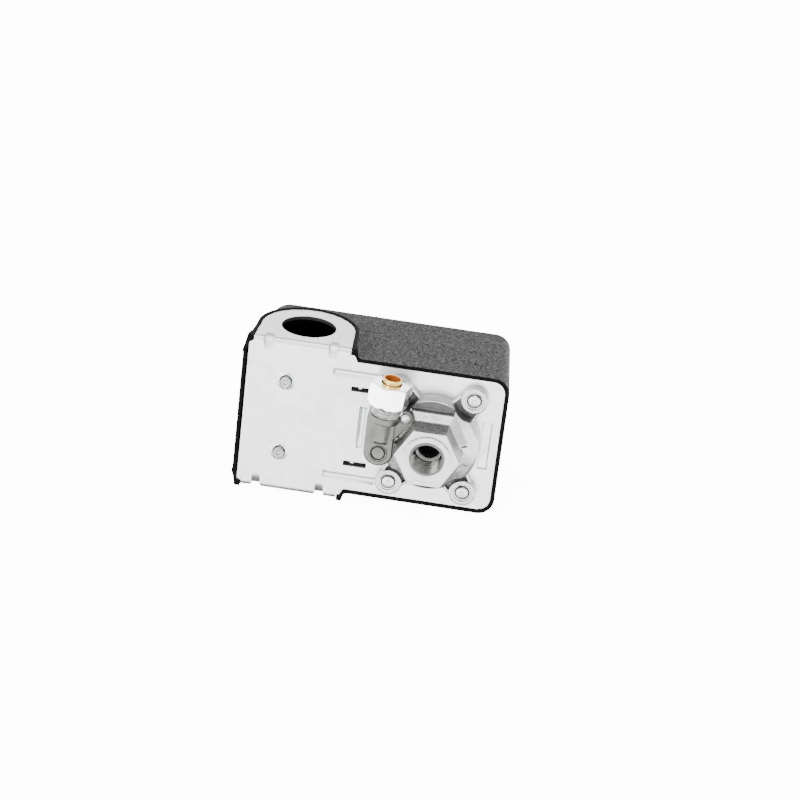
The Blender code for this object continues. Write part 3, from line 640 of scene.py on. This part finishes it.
def shell_box(x, y, z, wall, back_round):
    """Box whose sides lean in towards the back, where its left corners are rounder."""
    depth = y - COVER_LOW[1]
    share = np.clip(depth / (COVER_HIGH[1] - COVER_LOW[1]), 0.0, 1.0)
    inset = wall + COVER_DRAFT * depth
    above = np.abs(z) - (COVER_HALF - inset)
    growth = LEFT_CORNERS[1] - LEFT_CORNERS[0]
    left = both(COVER_LOW[0] + inset - x, above, LEFT_CORNERS[0] + growth * share - wall)
    right = both(x - (COVER_HIGH[0] - inset), above, RIGHT_CORNER - wall)
    walls = np.where(x < 0.5 * (COVER_LOW[0] + COVER_HIGH[0]), left, right)
    return both(walls, y - (COVER_HIGH[1] - wall), back_round)


def ear_surround(x, y, w):
    """Arch that stands out round each ear and flares a little at the front."""
    front = 0.9 * (1.0 - smooth(y, COVER_LOW[1] + 1.0, COVER_LOW[1] + 7.0))
    margin = 1.6 + 1.4 * np.clip((COVER_HIGH[2] - w) / 7.0, 0.0, 1.0) + front
    arch = both(ear_outline(x, y) - margin, w - COVER_HIGH[2], 0.35)
    return both(both(arch, 26.6 - w), COVER_LOW[1] - y, 0.3)


def cover_field(x, y, z):
    w = np.abs(z)
    outer = both(shell_box(x, y, z, 0.0, COVER_EDGE), COVER_LOW[1] - y, 0.3)
    solid = either(outer, ear_surround(x, y, w), 1.2)
    solid = without(solid, shell_box(x, y, z, WALL, 0.6), 0.3)
    solid = without(solid, both(ear_outline(x, y, 0.3), 20.0 - w), 0.25)
    seat = convex(x, w, [(SEAT_X[0], 22.2), (SEAT_X[1], 22.2), (SEAT_X[1], 28.5),
                         (-34.5, 31.3), (-76.7, 31.3), (SEAT_X[0], 30.4)])
    solid = without(solid, both(seat, y - (PLATE_BACK + 0.3)), 0.15)
    stud_hole = both(rod(x, z, (STUD[0], STUD[2]), STUD_HOLE_R), COVER_HIGH[1] - 5.0 - y)
    return without(solid, stud_hole, 0.3)


def rim_faces(middle, normal):
    """Slot 1 where the moulding is smooth and black, 0 where it is textured."""
    x, y, z = middle.T
    front = (y < COVER_LOW[1] + 0.55) & (normal[:, 1] < -0.25)
    lips = (np.abs(z) > COVER_HIGH[2] - 0.5) & (np.abs(normal[:, 2]) > 0.35)
    inside = (shell_box(x, y, z, 0.6, 1.6) < 0.0) | (ear_outline(x, y, 0.9) < 0.0)
    return front | lips | inside


def build_cover():
    piece = sculpt("cover_shell", cover_field, COVER_LOW, COVER_HIGH, 0.5, 0.35)
    dress(piece, "cover", "grey_cover", ["cover"], LOOKS["cover"], LOOKS["rim"])
    paint(piece, rim_faces)


# ---- pressure flange --------------------------------------------------------
HEX_HALF = 11.5
PORT_PITCH = 1.41
PORT_THREAD = (0.3, 11.0)
PORT_THREAD_R = 6.25
PORT_SLEEVE_R = 7.3
PORT_BOTTOM = 12.5
PORT_FACING = (9.75, 0.15)
WALL_SEAT = (6.9, 11.2)
TAPPED_R = 5.6
MOUTH_R = 7.35
THROAT_R = 4.6
CHAMBERS = ((10.2, 17.0), (12.9, 19.2))
DOME_R = 19.4
DOME_CONE = 0.26
CROWN_R = 13.0
CROWN_FACE = 12.5
BOSS_R = 5.4
BOSS_SINK = (0.7, 17.75)
BOSS_FACE = 17.1
WEB_FACE = 18.1
WEB_FLOOR = 20.2
WEB_WALL = 0.85
WEB_HALF = 4.95
WEB_SPREAD = 0.14
WEB_START = 10.0
MOAT_R = 7.9
RECESS_R = 18.8
RECESS_FLOOR = 15.6
FLANGE_BACK = 20.7
LEDGE_FACE = 9.0
LEDGE_REACH = 14.6
LEDGE_SLOPE = 1.03
PIP_R = 0.5
PIPS = ((-13.0, 0.0), (-13.0, -2.2))
EJECTOR = (14.0, -7.0)
EJECTOR_R = 1.4


def web_pocket(x, y, z):
    """Hollow between the two walls of a web, and the outline of the web itself."""
    u, w = np.abs(x), np.abs(z)
    reach = math.hypot(BOSS_X, BOSS_Z)
    along = (u * BOSS_X + w * BOSS_Z) / reach
    across = np.abs(u * BOSS_Z - w * BOSS_X) / reach
    flare = across - WEB_HALF - WEB_SPREAD * np.maximum(reach - along, 0.0)
    outline = both(both(flare, along - reach), WEB_START - along)
    return both(flare + WEB_WALL, y - WEB_FLOOR, 0.3), outline


def dome_slope(r):
    """Height of the dome's shallow cone at a radius."""
    return CROWN_FACE + DOME_CONE * (r - CROWN_R)


def dome_and_webs(x, y, z, r):
    """Dome with its recess and the thin-walled webs that run out to the bosses."""
    pocket, outline = web_pocket(x, y, z)
    side = r - (DOME_R + 0.03 * (y - 14.2))
    dome = both(side, (dome_slope(r) - y) * 0.97, 1.0)
    dome = without(dome, both(pocket, from_boss(x, z) - MOAT_R), 0.3)
    recess = both(both(r - RECESS_R, 14.0 - z, 0.4), span(x, -9.0, 8.2), 0.8)
    dome = without(dome, both(recess, y - RECESS_FLOOR, 0.4), 0.25)
    webs = without(both(outline, WEB_FACE - y, 0.3), pocket, 0.15)
    return either(dome, webs, 0.25)


def hexagon_block(solid, x, y, z):
    """Add the port's hexagon and the sloped ledge that joins it to the dome."""
    across = flats(x, z, 30.0)
    ledge = both((across - (HEX_HALF + LEDGE_SLOPE * (y - 10.0))) * 0.7, across - LEDGE_REACH, 0.5)
    ledge = both(ledge, LEDGE_FACE - y)
    ledge = both(ledge, 2.2 - z, 1.5)
    solid = either(solid, ledge, 0.5)
    return either(solid, both(across - HEX_HALF, -y, 0.4), 0.8)


def room_for_unloader(x, y, z):
    """Space cut out of the dome beside the unloader valve."""
    relief = convex(x, z, [(-13.4, -5.0), (-13.7, -12.6), (-40.0, -12.6), (-40.0, 12.0), (-12.8, 12.0)])
    return both(relief, LEDGE_FACE - y)


def room_for_nut(a, b, h):
    """Round space along the fitting's axis, wide enough to turn the nut in."""
    return both(np.hypot(a, b) - 8.9, span(h, -3.0, 17.0))


def port_bore(y, r):
    """Bore that takes the threaded wall, with a countersunk mouth."""
    bore = either(both(r - WALL_SEAT[0], y - WALL_SEAT[1]), both(r - TAPPED_R, y - PORT_BOTTOM))
    return either(bore, both(r - (MOUTH_R - 0.95 * y), y - 0.9))


def cast_marks(solid, x, y, z, r):
    """One round ejector mark and two small pips, as a die leaves them."""
    ejector = both(rod(x, z, EJECTOR, EJECTOR_R), y - (dome_slope(r) + 0.25))
    solid = without(solid, ejector, 0.1)
    for pip in PIPS:
        solid = either(solid, both(rod(x, z, pip, PIP_R), span(y, 12.2, 14.0), 0.2), 0.1)
    return solid


def casting_field(x, y, z):
    r = np.hypot(x, z)
    solid = dome_and_webs(x, y, z, r)
    solid = either(solid, both(from_boss(x, z) - BOSS_R, BOSS_FACE - y, 0.45), 0.2)
    solid = hexagon_block(solid, x, y, z)
    solid = without(solid, both(r - PORT_FACING[0], y - PORT_FACING[1]))
    solid = without(solid, room_for_unloader(x, y, z), 0.5)
    solid = without(solid, tilted_field(room_for_nut, x, y, z), 0.4)
    solid = both(solid, y - FLANGE_BACK)
    solid = without(solid, port_bore(y, r), 0.12)
    solid = without(solid, both(r - THROAT_R, span(y, 11.0, 19.0)))
    for radius, roof in CHAMBERS:
        solid = without(solid, both(r - radius, roof - y))
    solid = cast_marks(solid, x, y, z, r)
    hole = from_boss(x, z) - SCREW_HOLE_R
    solid = without(solid, hole, 0.25)
    return without(solid, both(hole - BOSS_SINK[0], y - BOSS_SINK[1]), 0.2)


def casting_faces(middle, normal):
    """Slot 1 on the turned port, 2 painted shade on the floors of the web pockets and of the recess, 3 painted
    shade on the hexagon's sides.
    """
    x, y, z = middle.T
    r = np.hypot(x, z)
    turned = ((y < 0.3) & (normal[:, 1] < -0.8)) | ((r < 7.1) & (y < PORT_BOTTOM + 0.1))
    boss = from_boss(x, z) - 5.3
    moat = (web_pocket(x, y, z)[0] < 0.25) & (boss > 0.0) & (boss < 2.8)
    # Pocket floors and the recess band take the painted shade.
    hollow = moat & (y > 18.6) & (normal[:, 1] < -0.3)
    recess = (y > 14.2) & (r < 18.9) & (r > 13.0)
    side = (np.abs(flats(x, z, 30.0) - HEX_HALF) < 0.3) & (y > 0.5) & (y < 10.0)
    return np.select([turned, hollow | recess, side], [1, 2, 3], 0)


def build_casting():
    piece = sculpt("pressure_casting", casting_field, *extent("flange_casting"), 0.3, 0.5)
    looks = [LOOKS[key] for key in ("cast", "machined", "recess_shade", "side")]
    dress(piece, "body", "cast_zinc", ["flange_casting"], *looks)
    paint(piece, casting_faces)
    low, high = PORT_THREAD
    wall = thread(PORT_PITCH, PORT_THREAD_R, -0.05, low, high, -0.6, 0.5)
    back = [(PORT_SLEEVE_R, high), (PORT_SLEEVE_R, low)]
    port = lathe("port_thread", wall + back, 96, closed=True, pitch=PORT_PITCH)
    # The threaded wall gets the near-black painted shade.
    dress(port, "body", "cast_zinc", ["flange_casting"], LOOKS["cut"])


# ---- unloader valve and tube fitting ----------------------------------------
TILT = math.atan2(FITTING_AXIS.x, FITTING_AXIS.z)
NUT_LOW = 6.2
NUT_HIGH = 15.6
NUT_HALF = 7.4
NUT_TURN = -13.0
NUT_TOP_R = 7.9
NUT_BOTTOM_R = 7.6
NUT_THREAD_R = 5.9
NUT_THREAD_END = 10.6
NUT_HOLE_R = 4.15
FITTING_PITCH = 1.3
FITTING_THREAD = (1.2, 9.5)
COLLAR_R = 6.0
FOOT_R = 6.1
BLOCK_FACE = 11.4
CAP_FACE = 10.6
LUG_FACE = 10.7
BARREL_R = 3.9
PAD_R = 2.7
RING_R = 3.3
RING_HALF = 0.28
RECESS_BORE_R = 2.95
SPRING_BORE_R = 2.3
PLUNGER_BORE_R = 1.9
LUG_HOLE_R = 1.55
CORE_R = 4.9
STEM_BORE_R = 2.3
FITTING_THREAD_R = 5.4
FITTING_SLEEVE_R = 4.4


def tilted_field(field, x, y, z):
    """Evaluate a field written along the fitting's own leaning axis."""
    dx, dz = x - FITTING[0], z - FITTING[2]
    across = dx * math.cos(TILT) - dz * math.sin(TILT)
    along = dx * math.sin(TILT) + dz * math.cos(TILT)
    return field(across, y - FITTING[1], along)


def fitting_stem(a, b, h):
    """Collar and core of the fitting, which the threaded wall stands round."""
    r = np.hypot(a, b)
    collar = both(r - COLLAR_R, span(h, -1.0, 1.8), 0.4)
    core = both(r - CORE_R, span(h, 0.0, 9.2), 0.2)
    return without(either(collar, core, 0.2), both(r - STEM_BORE_R, 1.5 - h))


def valve_block(x, y, z):
    """Round-footed block with a slightly smaller cap in front."""
    px, pz = PLUG[0], PLUG[2]
    foot = both(np.hypot(x - px, np.minimum(z - pz, 0.0)) - FOOT_R, z - 11.8)
    taper = convex(x, z, [(px - 6.4, pz - 8.0), (px + 6.4, pz - 8.0), (px + FOOT_R, 12.0), (px - 4.6, 12.0),
                          (px - 6.2, 9.4)])
    outline = both(foot, taper, 0.6)
    block = both(both(outline, BLOCK_FACE - y, 0.8), y - 20.6)
    cap = both(both(outline + 0.35, CAP_FACE - y, 0.7), y - 13.0)
    return either(block, cap, 0.4)


def screw_lug(x, y, z):
    """Arm towards the port that the small screw holds."""
    lug = convex(x, z, [(-16.0, 1.5), (-14.4, 1.5), (-6.8, 10.8), (-9.4, 14.4), (-16.0, 14.4)])
    return both(both(lug, LUG_FACE - y, 0.5), y - 13.1)


def unloader_field(x, y, z):
    px, pz = PLUG[0], PLUG[2]
    screw = (LUG_SCREW[0], LUG_SCREW[2])
    solid = either(valve_block(x, y, z), screw_lug(x, y, z), 0.5)
    pad = both(rod(x, z, screw, PAD_R), span(y, 10.3, 12.0), 0.2)
    solid = either(solid, pad, 0.3)
    barrel = both(rod(x, y, (px + 0.6 + 0.084 * z, 13.6), BARREL_R), span(z, pz + 4.5, 11.0), 0.5)
    solid = either(solid, barrel, 0.6)
    solid = either(solid, tilted_field(fitting_stem, x, y, z), 0.5)
    away = np.hypot(x - px, z - pz)
    ring = both(np.abs(away - RING_R) - RING_HALF, span(y, 10.25, 12.0), 0.2)
    solid = either(solid, ring, 0.25)
    solid = without(solid, both(away - RECESS_BORE_R, y - 12.2), 0.1)
    solid = without(solid, both(away - SPRING_BORE_R, y - 19.5))
    solid = without(solid, both(away - PLUNGER_BORE_R, 12.0 - y))
    return without(solid, rod(x, z, screw, LUG_HOLE_R), 0.1)


def nut_field(a, b, h):
    """Compression nut: a hexagon turned down to a cone at both ends."""
    r = np.hypot(a, b)
    body = both(flats(a, b, NUT_TURN) - NUT_HALF, span(h, NUT_LOW, NUT_HIGH), 0.25)
    top = (r - NUT_TOP_R - 0.9 * (NUT_HIGH - h)) * 0.74
    bottom = (r - NUT_BOTTOM_R - 0.8 * (h - NUT_LOW)) * 0.8
    body = both(both(body, top, 0.3), bottom, 0.3)
    bore = either(both(r - NUT_THREAD_R, h - NUT_THREAD_END), r - NUT_HOLE_R)
    return without(body, bore, 0.15)


def nut_in_place(x, y, z):
    return tilted_field(nut_field, x, y, z)


def from_fitting_axis(a, b, h):
    return np.hypot(a, b)


def stem_faces(middle, _):
    """Slot 1 on the fitting above its collar."""
    return tilted_field(lambda a, b, h: both(np.hypot(a, b) - 6.6, 2.1 - h), *middle.T) < 0.0


def sleeve_faces(middle, normal):
    """Slot 1 on the bore of the sleeve, painted shade: a dark orange copy of the brass."""
    outward = tilted_field(from_fitting_axis, *(middle + 0.3 * normal).T)
    here = tilted_field(from_fitting_axis, *middle.T)
    return (outward < here - 0.1) & (here < 3.3)


def lean(piece):
    """Move a piece built on the fitting's own axis into the row frame."""
    turn = Matrix.Rotation(TILT, 4, "Y")
    piece.data.transform(Matrix.Translation(Vector(FITTING) * MM) @ turn)


def build_unloader():
    piece = sculpt("unloader_casting", unloader_field, *extent("unloader_body"), 0.27, 0.5)
    dress(piece, "body", "cast_zinc", ["unloader_body"], LOOKS["unloader"], LOOKS["steel"])
    paint(piece, stem_faces)
    low, high = FITTING_THREAD
    wall = thread(FITTING_PITCH, FITTING_THREAD_R, 0.0, low, high, 0.5, 0.8)
    back = [(FITTING_SLEEVE_R, high), (FITTING_SLEEVE_R, low)]
    stem = lathe("fitting_thread", wall + back, 84, axis="Z", closed=True, pitch=FITTING_PITCH)
    lean(stem)
    dress(stem, "body", "cast_zinc", ["unloader_body"], LOOKS["machined"])


def build_tube_nut():
    nut = sculpt("tube_nut", nut_in_place, *extent("compression_nut"), 0.25, 0.45)
    dress(nut, "compression_nut", "nickel", ["compression_nut"], LOOKS["nickel"])
    outside = [(2.62, 9.9), (2.85, 9.9), (3.6, 11.2), (3.6, 16.3), (3.85, 16.6), (3.85, 17.35), (3.62, 17.6)]
    inside = [(3.3, 17.6), (3.1, 17.4), (3.1, 11.4), (2.62, 10.3)]
    sleeve = lathe("tube_sleeve", outside + inside, axis="Z", closed=True)
    lean(sleeve)
    dress(sleeve, "compression_nut", "brass", ["compression_sleeve"], LOOKS["brass"], LOOKS["orange"])
    paint(sleeve, sleeve_faces)


# ---- screws -----------------------------------------------------------------
BOLT_R = 2.62
BOLT_HEAD_R = 3.9
PLUG_R = 2.72
LUG_HEAD_R = 2.0
LUG_SHANK_R = 1.3
GROUND_HEAD_Y = 23.0
GROUND_HEAD_R = 4.2
GROUND_SHANK_R = 2.02
GROUND_PITCH = 0.9
GROUND_RIDGE = 0.2


def flange_bolt(i):
    """Screw with a dimpled tip in front of the flange and its head behind the plate."""
    name = f"flange_screw_{i}"
    middle = centre(name)
    tip = extent(name)[0][1]
    end = [(0.35, tip + 0.25), (0.75, tip + 0.2), (0.95, tip), (1.9, tip), (2.35, tip + 0.15),
           (BOLT_R, tip + 0.5)]
    head = [(BOLT_R, 24.8), (3.7, 24.8), (BOLT_HEAD_R, 25.0), (BOLT_HEAD_R, 27.0), (3.7, 27.6), (3.2, 28.0)]
    piece = lathe(f"bolt_{i}", end + head, at=(middle[0], 0.0, middle[2]))
    dress(piece, "body", "bright_steel", [name], LOOKS["steel"])


def ground_field(middle):
    """Screw with a coarse thread, a cross-slotted head and a hollow in its tip."""
    def field(x, y, z):
        a, b = x - middle[0], z - middle[2]
        r = np.hypot(a, b)
        spin = np.arctan2(b, a) / (2.0 * math.pi)
        ridge = GROUND_RIDGE * tooth(y / GROUND_PITCH - spin)
        shank = both(r - GROUND_SHANK_R - ridge, 19.1 - y, 0.25)
        shank = without(shank, both(r - 1.0, y - 19.7), 0.3)
        shank = both(shank, y - 24.0)
        head = both(r - GROUND_HEAD_R, span(y, GROUND_HEAD_Y, 26.0), 0.5)
        solid = either(shank, head, 0.15)
        for across in (b, a):
            solid = without(solid, both(np.abs(across) - 0.5, 25.0 - y), 0.1)
        return solid
    return field


def head_faces(middle, _):
    """Slot 1 on the painted head of a ground screw."""
    return middle[:, 1] > GROUND_HEAD_Y - 0.1


def ground_bolt(i):
    name = f"ground_screw_{i}"
    piece = sculpt(f"ground_bolt_{i}", ground_field(centre(name)), *extent(name), 0.2, 0.5)
    dress(piece, name, "green_steel", [name], LOOKS["side"], LOOKS["green"])
    paint(piece, head_faces)


def build_screws():
    for i in range(1, 5):
        flange_bolt(i)
    for i in (1, 2):
        ground_bolt(i)
    face = [(0.6, 10.75), (2.3, 10.65), (2.55, 10.42), (PLUG_R, 10.6)]
    stub = [(PLUG_R, 11.9), (2.15, 11.95), (2.15, 13.2)]
    plug = lathe("valve_plug", face + stub, at=(PLUG[0], 0.0, PLUG[2]))
    dress(plug, "body", "bright_steel", ["unloader_plug"], LOOKS["unloader"])
    head = [(0.5, 8.82), (1.2, 8.9), (1.75, 9.15), (LUG_HEAD_R, 9.6), (LUG_HEAD_R, 10.28)]
    shank = [(LUG_SHANK_R, 10.3), (LUG_SHANK_R, 16.0)]
    screw = lathe("lug_bolt", head + shank, at=(LUG_SCREW[0], 0.0, LUG_SCREW[2]))
    dress(screw, "body", "bright_steel", ["unloader_screw"], LOOKS["steel"])


# ---- acorn nut --------------------------------------------------------------
ACORN_LOW, ACORN_HIGH = extent("cover_nut")
ACORN_HEX = 3.6
ACORN_DOME_R = 4.8


def acorn_field(x, y, z):
    """Domed nut on the end of the range stud."""
    middle = 0.5 * (ACORN_LOW + ACORN_HIGH)
    a, b = x - middle[0], z - middle[2]
    h = y - ACORN_LOW[1]
    r = np.hypot(a, b)
    wide, _, tall = ACORN_HIGH - ACORN_LOW
    half = 0.5 * min(wide, tall)
    hexagon = both(flats(a, b, 0.0 if wide < tall else 30.0) - half, span(h, 0.0, ACORN_HEX), 0.15)
    hexagon = both(hexagon, (r - half - 0.3 - 0.8 * (ACORN_HEX - h)) * 0.78, 0.2)
    dome = np.sqrt(a * a + b * b + np.maximum(h - 3.8, 0.0) ** 2) - ACORN_DOME_R
    dome = both(dome, span(y, ACORN_LOW[1] + 0.5, ACORN_HIGH[1] - 0.02), 0.2)
    solid = either(hexagon, dome, 0.15)
    return without(solid, both(r - STUD_HOLE_R, h - 4.6), 0.1)


def build_acorn():
    piece = sculpt("acorn_nut", acorn_field, ACORN_LOW, ACORN_HIGH, 0.25, 0.4)
    dress(piece, "cover_nut", "nickel", ["cover_nut"], LOOKS["nickel"])


# ---- carried-over CAD nodes -------------------------------------------------
KEPT = {
    "zinc": ["inner_frame", "operating_lever", "range_seat"],
    "steel": ["lever_pin", "carrier_pin", "range_stud", "differential_stud", "range_nut", "differential_nut"],
    "spring": ["range_spring", "differential_spring", "toggle_spring", "unloader_spring"],
    "black": ["contact_block", "contact_carrier"],
    "copper": ["moving_contact_1", "moving_contact_2"],
    "cast": ["piston"],
    "brass": ["unloader_plunger"],
    "rubber": ["diaphragm"],
}
for number in range(1, 5):
    KEPT["copper"].append(f"terminal_plate_{number}")
    KEPT["zinc"].append(f"wire_clamp_{number}")
    KEPT["steel"].append(f"terminal_screw_{number}")


def dress_kept_nodes():
    """Give each CAD node that still shows its material and softly broken edges."""
    for look, names in KEPT.items():
        for name in names:
            node = NODES[name]
            node.data.materials.clear()
            node.data.materials.append(LOOKS[look])
            edge = node.modifiers.new("edge", "BEVEL")
            edge.width = 0.15 * MM
            edge.segments = 2
            edge.limit_method = "ANGLE"
            edge.angle_limit = math.radians(38.0)


# ---- stage ------------------------------------------------------------------
CAMERA_AT = Vector((36.25, -813.65, 381.0))
CAMERA_FORWARD = Vector((-0.05564, 0.91428, -0.40124))
CAMERA_RIGHT = Vector((0.98762, 0.10942, 0.11237))
LENS = 102.73
SENSOR = 36.0
FAR_CLIP = 20.0

TABLE_REACH = 4000.0
TABLE_GAP = 0.05
TABLE_GLOW = 11.5
EAR_REST = (-34.5, 45.0)
CORNER_REST = (26.0, 45.0)

# Height of a direction, from 0 straight down to 1 straight up, and its brightness.
SURROUNDINGS = ((0.0, 0.2), (0.12, 0.5), (0.2, 2.4), (0.28, 7.6), (0.46, 7.6), (0.53, 2.2), (0.62, 3.4),
                (0.7, 4.6), (0.76, 3.6), (0.86, 0.8), (1.0, 0.6))
LIGHT_POWER = 22.0
LIGHT_AIM = Vector((-0.02, 0.03, 0.0))


def place_camera():
    data = bpy.data.cameras.new("camera")
    data.lens = LENS
    data.sensor_width = SENSOR
    data.clip_end = FAR_CLIP
    camera = bpy.data.objects.new("camera", data)
    back = -CAMERA_FORWARD.normalized()
    right = (CAMERA_RIGHT - back * CAMERA_RIGHT.dot(back)).normalized()
    up = back.cross(right)
    turn = Matrix((right, up, back)).transposed().to_4x4()
    camera.matrix_world = Matrix.Translation(CAMERA_AT * MM) @ turn
    bpy.context.scene.collection.objects.link(camera)
    bpy.context.scene.camera = camera


def floor():
    """White table touching the lower ear surround and the cover's lower corner.

    It glows, so that it is an even white, but lights nothing: the surroundings stand in for it.
    """
    deep = Vector((0.0, 1.0, 0.0))
    first = Vector((*EAR_REST, COVER_LOW[2]))
    along = (Vector((*CORNER_REST, -COVER_HALF)) - first).normalized()
    normal = along.cross(deep).normalized()
    if normal.z < 0.0:
        normal = -normal
    corners = [tuple(first + along * TABLE_REACH * a + deep * TABLE_REACH * b - normal * TABLE_GAP)
               for a, b in ((-1, -1), (1, -1), (1, 1), (-1, 1))]
    piece = mesh_object("table", corners, [(0, 1, 2, 3)])
    look = Look("table_white", grey(0.9), 0.9, 0.0, specular=0.1)
    look.tone(look.noise(400.0), NOISE_LOW, NOISE_HIGH, grey(0.90), grey(0.93))
    look.shader.inputs["Emission Color"].default_value = (1.0, 1.0, 1.0, 1.0)
    look.shader.inputs["Emission Strength"].default_value = TABLE_GLOW
    piece.data.materials.append(look.material)
    piece.visible_diffuse = False
    piece.visible_glossy = False


def area_light(name, place, size):
    data = bpy.data.lights.new(name, "AREA")
    data.shape = "RECTANGLE"
    data.size, data.size_y = size
    data.energy = LIGHT_POWER
    light = bpy.data.objects.new(name, data)
    at = Vector(place)
    turn = (LIGHT_AIM - at).to_track_quat("-Z", "Y").to_matrix().to_4x4()
    light.matrix_world = Matrix.Translation(at) @ turn
    bpy.context.scene.collection.objects.link(light)


def studio():
    """Soft surroundings, brightest where the white table lies, with a key and a top light."""
    world = bpy.data.worlds.new("studio")
    bpy.context.scene.world = world
    world.use_nodes = True
    tree = world.node_tree
    place = tree.nodes.new("ShaderNodeTexCoord")
    split = tree.nodes.new("ShaderNodeSeparateXYZ")
    height = tree.nodes.new("ShaderNodeMapRange")
    height.inputs["From Min"].default_value = -1.0
    ramp = tree.nodes.new("ShaderNodeValToRGB")
    strongest = max(value for _, value in SURROUNDINGS)
    stops = ramp.color_ramp.elements
    for position, _ in SURROUNDINGS[1:-1]:
        stops.new(position)
    for stop, (_, value) in zip(stops, SURROUNDINGS):
        stop.color = (*grey(value / strongest), 1.0)
    tree.links.new(place.outputs["Generated"], split.inputs["Vector"])
    tree.links.new(split.outputs["Z"], height.inputs["Value"])
    tree.links.new(height.outputs["Result"], ramp.inputs["Fac"])
    background = tree.nodes["Background"]
    background.inputs["Strength"].default_value = strongest
    tree.links.new(ramp.outputs["Color"], background.inputs["Color"])
    area_light("key", (-0.9, -0.9, 0.7), (0.8, 0.8))
    area_light("top", (0.0, -0.25, 1.3), (1.2, 0.9))


build_plate()
build_cover()
build_casting()
build_unloader()
build_tube_nut()
build_screws()
build_acorn()
dress_kept_nodes()
place_camera()
floor()
studio()
